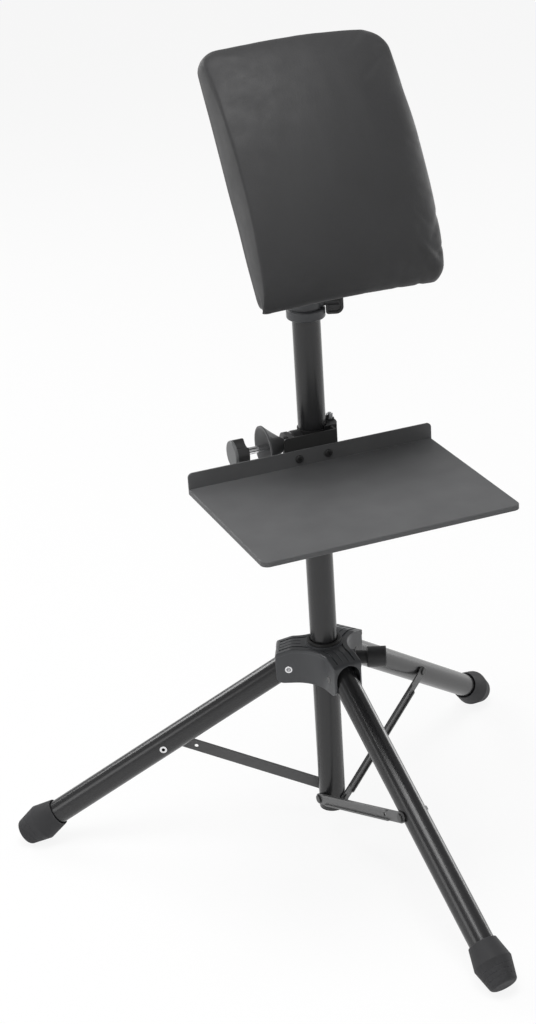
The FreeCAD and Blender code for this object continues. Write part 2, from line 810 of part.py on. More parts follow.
def brace_rivet():
    """The shouldered rivet at a brace's upper end, its shoulder just clear of the leg."""
    shoulder_start = leg_radius + brace_leg_gap
    head_face = brace_outer
    rivet = rod(brace_rivet_radius, head_face - shoulder_start,
                brace_mount - Y_AXIS * shoulder_start, -Y_AXIS)
    rivet = rivet.fuse(rod(brace_shoulder_radius, brace_inner - shoulder_start,
                           brace_mount - Y_AXIS * shoulder_start, -Y_AXIS))
    head = round_head(brace_rivet_head_radius, brace_rivet_head_height, brace_rivet_head_round,
                      brace_mount - Y_AXIS * head_face, -Y_AXIS)
    return rivet.fuse(head)


def column_collar():
    """The collar on the column's top: a ring, a barrel round the post and a boss for its lock."""
    ring, top = collar_ring_height, collar_ring_height + collar_barrel_height
    points = [(0, 0), (0, collar_ring_radius), (ring, collar_ring_radius), (ring, collar_barrel_radius)]
    points += [(top, collar_barrel_radius), (top, 0)]
    rounds = [0, collar_ring_round, collar_ring_round, 0, collar_barrel_round, 0]
    collar = turned(points, rounds, V(0, 0, collar_bottom), Z_AXIS)
    out = towards(post_lock_bearing)
    centre = V(0, 0, post_lock_height)
    collar = collar.fuse(rod(collar_boss_radius, collar_boss_reach, centre, out))
    collar = collar.cut(through_rod(post_radius + running_clearance, top, V(0, 0, collar_bottom), Z_AXIS))
    collar = collar.cut(rod(column_radius + running_clearance, collar_overlap,
                            V(0, 0, collar_bottom), Z_AXIS))
    insert_start = collar_boss_reach - post_lock_insert_length
    collar = collar.cut(rod(post_lock_insert_radius, post_lock_insert_length + cut_overrun,
                            centre + out * insert_start, out))
    return collar.cut(rod(post_lock_screw_radius + lock_screw_hole_gap, collar_boss_reach, centre, out))


def post_lock_insert():
    out = towards(post_lock_bearing)
    start = V(0, 0, post_lock_height) + out * (collar_boss_reach - post_lock_insert_length)
    bore = post_lock_screw_radius + running_clearance
    return pipe(post_lock_insert_radius, bore, post_lock_insert_length, start, out)


def post_lock_screw():
    out = towards(post_lock_bearing)
    tip = post_radius + contact_gap
    return rod(post_lock_screw_radius, post_lock_screw_end - tip,
               V(0, 0, post_lock_height) + out * tip, out)


def wing_outline(inset):
    """The wing's face, in the upright plane of the lock screw, at a distance inside its edge."""
    low, high = collar_ring_radius + wing_ring_gap + inset, wing_reach - inset
    half = wing_height / 2 - inset
    return [V(low, 0, -half), V(high, 0, -half), V(high, 0, half), V(low, 0, half)]


def post_lock_wing():
    """A flat thumb wing with a raised rim on both faces, on a short neck."""
    rounds = [wing_inner_round, wing_outer_round, wing_outer_round, wing_inner_round]
    half = wing_thickness / 2
    wing = prism(wing_outline(0), rounds, V(0, wing_thickness, 0))
    wing.translate(V(0, -half, 0))
    inner_rounds = [wing_rim / 2, wing_outer_round - wing_rim, wing_outer_round - wing_rim, wing_rim / 2]
    recess = prism(wing_outline(wing_rim), inner_rounds, V(0, wing_recess_depth + cut_overrun, 0))
    recess.translate(V(0, half - wing_recess_depth, 0))
    wing = wing.cut(recess).cut(recess.mirror(V(0, 0, 0), Y_AXIS))
    neck_start = collar_boss_reach + contact_gap
    neck_length = post_lock_screw_end + wing_rim / 2 - neck_start
    wing = wing.fuse(rod(wing_neck_radius, neck_length, V(neck_start, 0, 0), X_AXIS))
    wing = wing.cut(rod(post_lock_screw_radius + running_clearance, post_lock_screw_end, V(0, 0, 0), X_AXIS))
    wing.translate(V(0, 0, post_lock_height))
    return about_column(wing, post_lock_bearing)


def inner_post():
    return pipe(post_radius, post_bore, post_length, V(0, 0, post_bottom), Z_AXIS)


def post_guide():
    """The nylon guide on the post's lower end, which runs in the column."""
    low = V(0, 0, post_bottom - post_guide_floor)
    guide = rod(column_bore - running_clearance, post_guide_length + post_guide_floor, low, Z_AXIS)
    guide = guide.cut(rod(post_radius + running_clearance, post_guide_length + cut_overrun,
                          V(0, 0, post_bottom), Z_AXIS))
    return guide.cut(through_rod(post_guide_hole, post_guide_floor, low, Z_AXIS))


def tilt_head():
    """The socket on the post, with a lug that carries the tilt axis."""
    points = [(0, 0), (0, socket_radius), (socket_height, socket_radius), (socket_height, 0)]
    head = turned(points, [0, socket_round, socket_round, 0], V(0, 0, socket_bottom), Z_AXIS)
    half = lug_width / 2
    axis_start = V(-half, 0, tilt_axis_height)
    lug = block(V(-half, -lug_radius, socket_top - socket_round), V(half, lug_radius, tilt_axis_height))
    lug = lug.fuse(rod(lug_radius, lug_width, axis_start, X_AXIS))
    lug = lug.common(rod(socket_radius, lug_rise + socket_height, V(0, 0, socket_bottom), Z_AXIS))
    head = head.fuse(lug)
    head = head.cut(rod(post_radius + running_clearance, socket_depth, V(0, 0, socket_bottom), Z_AXIS))
    head = head.cut(through_rod(tilt_bolt_radius + running_clearance, lug_width, axis_start, X_AXIS))
    return head.cut(rod(set_screw_radius, 2 * socket_radius, V(0, 0, socket_bottom + set_screw_rise), Y_AXIS))


def head_set_screw():
    """The grub screw that keeps the head on the post and sets how stiffly it turns."""
    tip = V(0, post_radius + contact_gap, socket_bottom + set_screw_rise)
    screw = rod(set_screw_radius, set_screw_length, tip, Y_AXIS)
    hexagon = Part.makePolygon([towards(60 * i) * set_screw_hex_radius for i in range(7)])
    hole = Part.Face(hexagon).extrude(Z_AXIS * (set_screw_hex_depth + cut_overrun))
    return screw.cut(placed(hole, tip + Y_AXIS * (set_screw_length - set_screw_hex_depth), Y_AXIS))


def tilted(shape):
    """A shape modelled flat about the tilt axis, turned and lifted to where the pad rests."""
    shape.rotate(V(0, 0, 0), X_AXIS, pad_tilt)
    shape.translate(V(0, 0, tilt_axis_height))
    return shape


def pad_screw_places():
    """The four fixing points behind the pad, as places across and along it."""
    x, y = pad_screw_spacing_across / 2, pad_screw_spacing_along / 2
    return [V(x, y, 0), V(-x, y, 0), V(-x, -y, 0), V(x, -y, 0)]


def tilt_bracket():
    """A plate screwed to the pad's board, with two ears that straddle the lug."""
    bracket = plate(bracket_plate_width, bracket_plate_height, bracket_plate_thickness,
                    bracket_back, bracket_plate_round)
    for place in pad_screw_places():
        hole = through_rod(pad_screw_radius + running_clearance, bracket_plate_thickness,
                           place + Z_AXIS * bracket_back, Z_AXIS)
        bracket = bracket.cut(hole)
    base, end = bracket_ear_base / 2, bracket_ear_radius
    for start in (ear_inner, -ear_outer):
        corners = [V(start, -base, bracket_back), V(start, base, bracket_back)]
        corners += [V(start, end, 0), V(start, -end, 0)]
        travel = V(bracket_ear_thickness, 0, 0)
        ear = prism(corners, [0] * 4, travel)
        ear = ear.fuse(rod(bracket_ear_radius, bracket_ear_thickness, V(start, 0, 0), X_AXIS))
        bore = through_rod(tilt_bolt_radius + running_clearance, bracket_ear_thickness,
                           V(start, 0, 0), X_AXIS)
        bracket = bracket.fuse(ear.cut(bore))
    return tilted(bracket.removeSplitter())


def tilt_bolt():
    """The bolt through ears and lug, with its round head on the left."""
    reach = knob_seat + tilt_insert_length
    bolt = rod(tilt_bolt_radius, reach + ear_outer, V(-ear_outer, 0, 0), X_AXIS)
    head = round_head(tilt_bolt_head_radius, tilt_bolt_head_height, tilt_bolt_head_round,
                      V(-ear_outer, 0, 0), -X_AXIS)
    return tilted(bolt.fuse(head))


def tilt_washer():
    return tilted(pipe(tilt_washer_radius, tilt_bolt_radius + running_clearance,
                       tilt_washer_thickness, V(ear_outer, 0, 0), X_AXIS))


def tilt_insert():
    return tilted(pipe(tilt_insert_radius, tilt_bolt_radius + running_clearance,
                       tilt_insert_length, V(knob_seat, 0, 0), X_AXIS))


def tilt_knob():
    """The lobed knob that locks the pad's tilt."""
    base = V(knob_seat, 0, 0)
    knob = fluted(knob_blank(tilt_knob_radius, tilt_knob_length), tilt_knob_flute_radius,
                  tilt_knob_flute_depth, tilt_knob_length + cut_overrun, tilt_knob_lobes, 0)
    knob = placed(knob, base, X_AXIS)
    return tilted(knob.cut(rod(tilt_insert_radius, tilt_insert_length, base, X_AXIS)))


def round_drop(radius, gap):
    """How far an edge of this radius has fallen away at a distance from its outer end."""
    if gap >= radius:
        return 0
    return radius - sqrt(radius ** 2 - (radius - gap) ** 2)


def cushion_section(along):
    """The cushion's section across at a place along it: drawn-in sides under a crowned top."""
    end_gap = pad_height / 2 - abs(along)
    half = pad_width / 2 - round_drop(pad_corner_round, end_gap)
    along_share = 2 * along / pad_height
    across_share = 2 * half / pad_width
    side = pad_edge_thickness + pad_crown_along * (1 - along_share ** 2)
    side += pad_crown_across * (1 - across_share ** 2) - round_drop(pad_edge_round, end_gap)
    rise = pad_crown_across * across_share ** 2
    shoulder = half - pad_edge_round
    shoulder_height = side + rise * (1 - (shoulder / half) ** 2)
    edge_height = side - pad_edge_round
    bend = sin(radians(45))
    bend_x = half - pad_edge_round * (1 - bend)
    bend_height = edge_height + (shoulder_height - edge_height) * bend
    foot = half - pad_side_draw_in
    left = [V(-foot, along, 0), V(-half, along, edge_height), V(-bend_x, along, bend_height)]
    left.append(V(-shoulder, along, shoulder_height))
    right = [V(-point.x, along, point.z) for point in left]
    crown = V(0, along, side + rise)
    edges = [Part.LineSegment(left[0], left[1]), Part.Arc(left[1], left[2], left[3])]
    edges += [Part.Arc(left[3], crown, right[3]), Part.Arc(right[3], right[2], right[1])]
    edges += [Part.LineSegment(right[1], right[0]), Part.LineSegment(right[0], left[0])]
    return Part.Wire([edge.toShape() for edge in edges])


def cushion_stations():
    """Places along the cushion: close together round its ends, even between them."""
    half = pad_height / 2
    step = 90 / pad_corner_steps
    gaps = [pad_corner_round * (1 - cos(radians(i * step))) for i in range(pad_corner_steps)]
    low = [gap - half for gap in gaps]
    reach = half - pad_corner_round
    middle = [reach * (2 * i / pad_middle_steps - 1) for i in range(pad_middle_steps + 1)]
    return low + middle + [-along for along in reversed(low)]


def board_blank():
    """The board's outline at full thickness, without holes."""
    return plate(pad_width - 2 * pad_board_margin, pad_height - 2 * pad_board_margin,
                 pad_board_thickness, 0, pad_corner_round - pad_board_margin)


def on_pad_back(shape):
    """A shape modelled on the pad's back plane, set behind the pad and tilted."""
    shape.translate(V(0, 0, pad_back_distance))
    return tilted(shape)


def pad_cushion():
    """The upholstered foam pad: crowned both ways, its cover drawn in round the board."""
    sections = [cushion_section(along) for along in cushion_stations()]
    cushion = Part.makeLoft(sections, True, True).cut(board_blank())
    cushion.translate(V(pad_side_shift, 0, 0))
    return on_pad_back(cushion)


def pad_board():
    """The plywood board, holed and recessed for its four tee nuts."""
    board = board_blank()
    board.translate(V(pad_side_shift, 0, 0))
    top = pad_board_thickness - pad_nut_flange
    for place in pad_screw_places():
        board = board.cut(through_rod(pad_nut_barrel_radius, pad_board_thickness, place, Z_AXIS))
        board = board.cut(rod(pad_nut_flange_radius, pad_nut_flange + cut_overrun,
                              place + Z_AXIS * top, Z_AXIS))
    return on_pad_back(board)


def pad_back_cover():
    """The thin cloth that hides the board's back."""
    cover = plate(pad_width - 2 * pad_cover_margin, pad_height - 2 * pad_cover_margin,
                  pad_cover_thickness, -pad_cover_thickness, pad_cover_margin)
    cover.translate(V(pad_side_shift, 0, 0))
    for place in pad_screw_places():
        cover = cover.cut(through_rod(pad_screw_radius + running_clearance, pad_cover_thickness,
                                      place - Z_AXIS * pad_cover_thickness, Z_AXIS))
    return on_pad_back(cover)


def pad_tee_nuts():
    """Four tee nuts pressed into the board from the foam's side."""
    nuts = []
    flange_low = pad_board_thickness - pad_nut_flange
    barrel_low = flange_low - pad_nut_barrel_length
    for place in pad_screw_places():
        nut = rod(pad_nut_barrel_radius, pad_nut_barrel_length, place + Z_AXIS * barrel_low, Z_AXIS)
        nut = nut.fuse(rod(pad_nut_flange_radius, pad_nut_flange, place + Z_AXIS * flange_low, Z_AXIS))
        nut = nut.cut(through_rod(pad_screw_radius + running_clearance, pad_board_thickness,
                                  place, Z_AXIS))
        nuts.append(nut)
    return on_pad_back(Part.makeCompound(nuts))


def pad_screws():
    """Four machine screws through the bracket into the tee nuts."""
    screws = []
    seat = bracket_back - pad_back_distance
    for place in pad_screw_places():
        base = place + Z_AXIS * seat
        screw = rod(pad_screw_radius, pad_board_thickness - pad_nut_flange - seat, base, Z_AXIS)
        head = round_head(pad_screw_head_radius, pad_screw_head_height, pad_screw_head_round,
                          base, -Z_AXIS)
        screws.append(screw.fuse(head))
    return on_pad_back(Part.makeCompound(screws))


def tray_screw_centres():
    """Where the two screws pass through the tray's upstand."""
    height = tray_height + tray_screw_rise
    return [V(-tray_screw_left, 0, height), V(tray_screw_right, 0, height)]


def tray_plate():
    """The folded sheet tray: a turned-down rim on three sides and an upstand at the back."""
    left = tray_side_offset - tray_width / 2
    right = left + tray_width
    front = tray_back - tray_depth
    bottom = tray_height - tray_rim
    corners = [V(left, front, bottom), V(right, front, bottom)]
    corners += [V(right, tray_back, bottom), V(left, tray_back, bottom)]
    rounds = [tray_corner_round, tray_corner_round, 0, 0]
    tray = prism(corners, rounds, V(0, 0, tray_rim))
    level = [edge for edge in tray.Edges if edge.BoundBox.ZMin > bottom + tray_rim / 2]
    bent = [edge for edge in level if edge.BoundBox.YMin < tray_back - tray_corner_round / 2]
    tray = tray.makeFillet(tray_bend_round, bent)
    inside = [V(left + tray_sheet, front + tray_sheet, bottom - cut_overrun)]
    inside.append(V(right - tray_sheet, front + tray_sheet, bottom - cut_overrun))
    inside.append(V(right - tray_sheet, tray_back + cut_overrun, bottom - cut_overrun))
    inside.append(V(left + tray_sheet, tray_back + cut_overrun, bottom - cut_overrun))
    inner_round = tray_corner_round - tray_sheet
    depth = tray_rim - tray_sheet + cut_overrun
    tray = tray.cut(prism(inside, [inner_round, inner_round, 0, 0], V(0, 0, depth)))
    low, high = tray_height - tray_sheet, tray_height + tray_upstand
    upright = [V(left, tray_back, low), V(right, tray_back, low)]
    upright += [V(right, tray_back, high), V(left, tray_back, high)]
    rounds = [0, 0, tray_upstand_round, tray_upstand_round]
    tray = tray.fuse(prism(upright, rounds, V(0, -tray_sheet, 0)))
    for centre in tray_screw_centres():
        hole = through_rod(tray_screw_radius + running_clearance, tray_sheet,
                           centre + Y_AXIS * tray_back, -Y_AXIS)
        tray = tray.cut(hole)
    return tray.removeSplitter()


def tray_clamp_plate():
    """The bent plate behind the upstand: a web, a return at its right and a shelf for the jaw."""
    top = tray_height + clamp_plate_rise
    left, right = -clamp_plate_left, clamp_plate_right
    corners = [V(left, tray_back, shelf_bottom), V(right, tray_back, shelf_bottom)]
    corners += [V(right, tray_back, top), V(left, tray_back, top)]
    bent = prism(corners, [0, 0, 0, clamp_corner_round], V(0, clamp_plate_thickness, 0))
    shelf = block(V(clamp_shelf_left, tray_back, shelf_bottom),
                  V(clamp_shelf_right, clamp_shelf_back, clamp_bottom))
    ring = through_rod(liner_radius + liner_flange_reach + shelf_liner_gap, clamp_plate_thickness,
                       V(0, 0, shelf_bottom), Z_AXIS)
    bent = bent.fuse(shelf.cut(ring))
    side = [V(right, tray_back, shelf_bottom), V(right, return_back, shelf_bottom)]
    side += [V(right, return_back, top), V(right, tray_back, top)]
    bent = bent.fuse(prism(side, [0, 0, clamp_corner_round, 0], V(-clamp_plate_thickness, 0, 0)))
    for centre in tray_screw_centres():
        hole = through_rod(tray_screw_radius + running_clearance, clamp_plate_thickness,
                           centre + Y_AXIS * tray_back, Y_AXIS)
        bent = bent.cut(hole)
    pin = through_rod(jaw_pin_radius + running_clearance, clamp_plate_thickness,
                      V(jaw_pin_x, jaw_pin_y, shelf_bottom), Z_AXIS)
    return bent.cut(pin).removeSplitter()


def tray_clamp_body():
    """The moulded body: a web behind the plate and an arm that holds the bolt's insert."""
    web_right = clamp_plate_right - clamp_plate_thickness
    web = block(V(-clamp_arm_outer, plate_back, clamp_bottom), V(web_right, web_back, clamp_top))
    arm_inner = clamp_arm_thickness - clamp_arm_outer
    arm = block(V(-clamp_arm_outer, plate_back, clamp_bottom), V(arm_inner, 0, clamp_top))
    axis = V(-clamp_arm_outer, 0, clamp_axis_height)
    body = web.fuse(arm).fuse(rod(clamp_body_height / 2, clamp_arm_thickness, axis, X_AXIS))
    body = body.cut(through_rod(clamp_insert_radius, clamp_arm_thickness, axis, X_AXIS))
    for centre in tray_screw_centres():
        hole = rod(tray_screw_radius, clamp_web_depth + cut_overrun, centre + Y_AXIS * plate_back, Y_AXIS)
        body = body.cut(hole)
    return body.removeSplitter()


def fixed_jaw():
    """The fixed jaw: part of a ring round the column, on the shelf and against the plate's return."""
    height = jaw_top - clamp_bottom
    ring = pipe(jaw_radius, liner_radius + running_clearance, height, V(0, 0, clamp_bottom), Z_AXIS)
    sweep = jaw_back_bearing - jaw_front_bearing
    reach = jaw_radius + cut_overrun
    wedge = Part.makeCylinder(reach, height, V(0, 0, clamp_bottom), Z_AXIS, sweep)
    jaw = ring.common(about_column(wedge, jaw_front_bearing))
    jaw = jaw.cut(block(V(-reach, -reach, clamp_bottom - cut_overrun),
                        V(reach, return_back, jaw_top + cut_overrun)))
    return jaw.cut(through_rod(jaw_pin_radius + running_clearance, height,
                               V(jaw_pin_x, jaw_pin_y, clamp_bottom), Z_AXIS))


def jaw_pin():
    """The upright screw that holds the jaw to the shelf, its head below."""
    low = V(jaw_pin_x, jaw_pin_y, shelf_bottom)
    length = jaw_top - shelf_bottom + jaw_washer_thickness + jaw_nut_height + jaw_pin_tip
    pin = rod(jaw_pin_radius, length, low, Z_AXIS)
    return pin.fuse(rod(jaw_pin_head_radius, jaw_pin_head_height, low, -Z_AXIS))


def jaw_washer():
    return pipe(jaw_washer_radius, jaw_pin_radius + running_clearance, jaw_washer_thickness,
                V(jaw_pin_x, jaw_pin_y, jaw_top), Z_AXIS)


def jaw_nut():
    """The hexagon nut on the jaw's screw."""
    corner = jaw_nut_flats / 2 / cos(radians(30))
    base = V(jaw_pin_x, jaw_pin_y, jaw_top + jaw_washer_thickness)
    hexagon = Part.makePolygon([base + towards(60 * i) * corner for i in range(7)])
    nut = Part.Face(hexagon).extrude(Z_AXIS * jaw_nut_height)
    return nut.cut(through_rod(jaw_pin_radius + running_clearance, jaw_nut_height, base, Z_AXIS))


def clamp_liner():
    """The split nylon liner between clamp and column, flanged below the clamp."""
    flange_low = clamp_bottom - contact_gap - liner_flange_height
    length = clamp_top + liner_rise - flange_low
    base = V(0, 0, flange_low)
    liner = rod(liner_radius, length, base, Z_AXIS)
    liner = liner.fuse(rod(liner_radius + liner_flange_reach, liner_flange_height, base, Z_AXIS))
    liner = liner.cut(through_rod(column_radius + running_clearance, length, base, Z_AXIS))
    half = liner_slit / 2
    reach = liner_radius + liner_flange_reach + cut_overrun
    return liner.cut(block(V(-half, 0, flange_low - cut_overrun),
                           V(half, reach, flange_low + length + cut_overrun)))


def clamp_bell():
    """The flared guard behind the knob: a narrow neck that opens into a dished mouth."""
    start, mouth = bell_flare_start, bell_length
    profile = [Part.LineSegment(V(0, 0, 0), V(bell_neck_radius, 0, 0))]
    profile.append(Part.LineSegment(V(bell_neck_radius, 0, 0), V(bell_neck_radius, 0, start)))
    edge = V(bell_mouth_radius, 0, mouth - bell_lip)
    chord = edge - V(bell_neck_radius, 0, start)
    bow = V(-chord.z, 0, chord.x) * bell_bow_share
    middle = V(bell_neck_radius, 0, start) + chord / 2 + bow
    profile.append(Part.Arc(V(bell_neck_radius, 0, start), middle, edge))
    rim = V(bell_mouth_radius, 0, mouth)
    inner_rim = V(bell_mouth_radius - bell_lip, 0, mouth)
    floor = V(bell_dish_floor_radius, 0, mouth - bell_dish_depth)
    dish_chord = floor - inner_rim
    dish_bow = V(-dish_chord.z, 0, dish_chord.x) * bell_bow_share
    dish_middle = inner_rim + dish_chord / 2 - dish_bow
    profile += [Part.LineSegment(edge, rim), Part.LineSegment(rim, inner_rim)]
    profile.append(Part.Arc(inner_rim, dish_middle, floor))
    profile.append(Part.LineSegment(floor, V(0, 0, floor.z)))
    profile.append(Part.LineSegment(V(0, 0, floor.z), V(0, 0, 0)))
    face = Part.Face(Part.Wire([edge.toShape() for edge in profile]))
    bell = face.revolve(V(0, 0, 0), Z_AXIS, 360)
    bell = bell.cut(through_rod(clamp_bolt_radius + lock_screw_hole_gap, bell_length, V(0, 0, 0), Z_AXIS))
    return placed(bell, V(-clamp_arm_outer, 0, clamp_axis_height), -X_AXIS)


def clamp_insert():
    return pipe(clamp_insert_radius, clamp_bolt_radius + running_clearance, clamp_arm_thickness,
                V(-clamp_arm_outer, 0, clamp_axis_height), X_AXIS)


def clamp_pressure_pad():
    """The saddle-faced disc that the bolt pushes against the liner."""
    base = V(-pressure_pad_outer, 0, clamp_axis_height)
    length = pressure_pad_outer - pressure_pad_inner
    points = [(0, 0), (0, pressure_pad_radius), (length, pressure_pad_radius), (length, 0)]
    disc = turned(points, [0, pressure_pad_round, 0, 0], base, X_AXIS)
    disc = disc.cut(through_rod(liner_radius + running_clearance, 2 * pressure_pad_radius,
                                V(0, 0, clamp_axis_height - pressure_pad_radius), Z_AXIS))
    return disc.cut(rod(clamp_bolt_radius + running_clearance, bolt_tip_depth + contact_gap, base, X_AXIS))


def clamp_bolt():
    """The long bolt from the knob through the bell and the insert to the pressure pad."""
    start = star_knob_x - star_knob_bolt_depth
    end = bolt_tip_depth - pressure_pad_outer
    return rod(clamp_bolt_radius, end - start, V(start, 0, clamp_axis_height), X_AXIS)


def clamp_star_knob():
    """The knob on the clamp's bolt: three lobes behind a full round end disc."""
    base = V(star_knob_x, 0, clamp_axis_height)
    knob = fluted(knob_blank(star_knob_radius, star_knob_length), star_knob_flute_radius,
                  star_knob_flute_depth, star_knob_length - star_knob_disc, star_knob_lobes,
                  star_knob_turn)
    knob = placed(knob, base, -X_AXIS)
    return knob.cut(rod(clamp_bolt_radius + running_clearance, star_knob_bolt_depth, base, -X_AXIS))


def tray_screws():
    """Two cross-recess screws through the upstand into the clamp body."""
    screws = []
    front = tray_back - tray_sheet
    half, reach = tray_screw_slot_width / 2, tray_screw_head_radius * tray_screw_slot_share
    for centre in tray_screw_centres():
        base = centre + Y_AXIS * front
        screw = rod(tray_screw_radius, tray_screw_length, base, Y_AXIS)
        screw = screw.fuse(round_head(tray_screw_head_radius, tray_screw_head_height,
                                      tray_screw_head_round, base, -Y_AXIS))
        top = base - Y_AXIS * (tray_screw_head_height - tray_screw_slot_depth)
        across = V(reach, cut_overrun + tray_screw_slot_depth, half)
        upright = V(half, cut_overrun + tray_screw_slot_depth, reach)
        for size in (across, upright):
            screw = screw.cut(block(top - size, top + V(size.x, 0, size.z)))
        screws.append(screw)
    return Part.makeCompound(screws)


shapes = {
    "column_tube": column_tube(),
    "column_bottom_plug": column_bottom_plug(),
    "brace_column_rivets": brace_column_rivets(),
    "column_collar": column_collar(),
    "post_lock_insert": post_lock_insert(),
    "post_lock_screw": post_lock_screw(),
    "post_lock_wing": post_lock_wing(),
    "hub_spider": hub_spider(),
    "hub_bushing": hub_bushing(),
    "hub_pivot_rivets": hub_pivot_rivets(),
    "hub_lock_insert": hub_lock_insert(),
    "hub_lock_screw": hub_lock_screw(),
    "hub_lock_knob": hub_lock_knob(),
    "inner_post": inner_post(),
    "post_guide": post_guide(),
    "tilt_head": tilt_head(),
    "head_set_screw": head_set_screw(),
    "tilt_bracket": tilt_bracket(),
    "tilt_bolt": tilt_bolt(),
    "tilt_washer": tilt_washer(),
    "tilt_insert": tilt_insert(),
    "tilt_knob": tilt_knob(),
    "pad_cushion": pad_cushion(),
    "pad_board": pad_board(),
    "pad_back_cover": pad_back_cover(),
    "pad_tee_nuts": pad_tee_nuts(),
    "pad_screws": pad_screws(),
    "tray_plate": tray_plate(),
    "tray_clamp_plate": tray_clamp_plate(),
    "tray_clamp_body": tray_clamp_body(),
    "fixed_jaw": fixed_jaw(),
    "jaw_pin": jaw_pin(),
    "jaw_washer": jaw_washer(),
    "jaw_nut": jaw_nut(),
    "clamp_liner": clamp_liner(),
    "clamp_bell": clamp_bell(),
    "clamp_insert": clamp_insert(),
    "clamp_pressure_pad": clamp_pressure_pad(),
    "clamp_bolt": clamp_bolt(),
    "clamp_star_knob": clamp_star_knob(),
    "tray_screws": tray_screws(),
}

leg_pieces = {
    "leg_tube": leg_tube(),
    "leg_pivot_plug": leg_pivot_plug(),
    "foot_cap": foot_cap(),
    "brace_sleeve": brace_sleeve(),
    "brace": brace(),
    "brace_rivet": brace_rivet(),
}
for side, bearing in leg_bearings.items():
    for name, piece in leg_pieces.items():
        shapes[side + "_" + name] = about_column(piece, bearing)

# The origin is the middle of the footprint, on the floor
footprint = FreeCAD.BoundBox()
for shape in shapes.values():
    footprint.add(shape.optimalBoundingBox(False, False))
origin_shift = V(-footprint.Center.x, -footprint.Center.y, -footprint.ZMin)

print("hub travel", hub_travel, "leg fold", leg_fold, "brace fold", brace_fold)

os.makedirs("parts", exist_ok=True)
for name, shape in shapes.items():
    shape.translate(origin_shift)
    shape.exportStep("parts/" + name + ".step")
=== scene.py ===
import json
from math import cos, exp, pi, radians, sin, sqrt

import bpy
from mathutils import Matrix, Vector, noise


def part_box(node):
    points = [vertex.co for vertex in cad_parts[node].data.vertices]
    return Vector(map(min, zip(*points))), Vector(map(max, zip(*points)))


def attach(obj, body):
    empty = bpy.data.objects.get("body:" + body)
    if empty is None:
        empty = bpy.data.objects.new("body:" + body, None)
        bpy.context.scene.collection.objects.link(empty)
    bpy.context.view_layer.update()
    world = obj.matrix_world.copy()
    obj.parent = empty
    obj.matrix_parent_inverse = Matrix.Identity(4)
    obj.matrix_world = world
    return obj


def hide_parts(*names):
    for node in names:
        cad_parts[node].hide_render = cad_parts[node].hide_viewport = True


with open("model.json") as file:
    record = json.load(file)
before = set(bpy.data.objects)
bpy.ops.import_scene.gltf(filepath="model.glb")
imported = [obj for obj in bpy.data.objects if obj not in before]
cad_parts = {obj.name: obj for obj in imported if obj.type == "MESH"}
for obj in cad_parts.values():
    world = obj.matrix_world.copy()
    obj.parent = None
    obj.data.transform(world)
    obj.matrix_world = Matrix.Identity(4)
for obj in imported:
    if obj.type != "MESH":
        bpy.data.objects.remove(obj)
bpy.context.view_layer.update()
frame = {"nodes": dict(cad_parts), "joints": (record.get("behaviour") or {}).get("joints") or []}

# Metres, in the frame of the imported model: the column is upright and the tray's front faces -Y.

nodes = frame["nodes"]
joints = {joint["name"]: joint for joint in frame["joints"]}
sides = ("left", "front", "right")


def node_centre(name):
    """The middle of a node's box."""
    low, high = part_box(name)
    return (Vector(low) + Vector(high)) / 2


column_axis = node_centre("column_tube")

# Camera: where it stands from the column's foot, and how it is turned
camera_from_column = Vector((-0.8080, -1.9788, 1.3575))
camera_heading = radians(20.80)
camera_pitch = radians(23.87)
camera_roll = radians(3.746)
camera_sensor = 36.0
camera_lens = 75.97


def make_camera():
    """The photograph's camera: it looks across the tray from its left, downwards."""
    data = bpy.data.cameras.new("photo_camera")
    data.sensor_fit = "VERTICAL"
    data.sensor_height = camera_sensor
    data.sensor_width = camera_sensor
    data.lens = camera_lens
    level = Vector((sin(camera_heading), cos(camera_heading), 0))
    ahead = level * cos(camera_pitch) - Vector((0, 0, sin(camera_pitch)))
    right = Vector((cos(camera_heading), -sin(camera_heading), 0))
    down = ahead.cross(right)
    across = right * cos(camera_roll) + down * sin(camera_roll)
    up = right * sin(camera_roll) - down * cos(camera_roll)
    turn = Matrix((across, up, -ahead)).transposed().to_4x4()
    camera = bpy.data.objects.new("photo_camera", data)
    foot = Vector((column_axis.x, column_axis.y, 0))
    camera.matrix_world = Matrix.Translation(foot + camera_from_column) @ turn
    bpy.context.scene.collection.objects.link(camera)
    bpy.context.scene.camera = camera


make_camera()


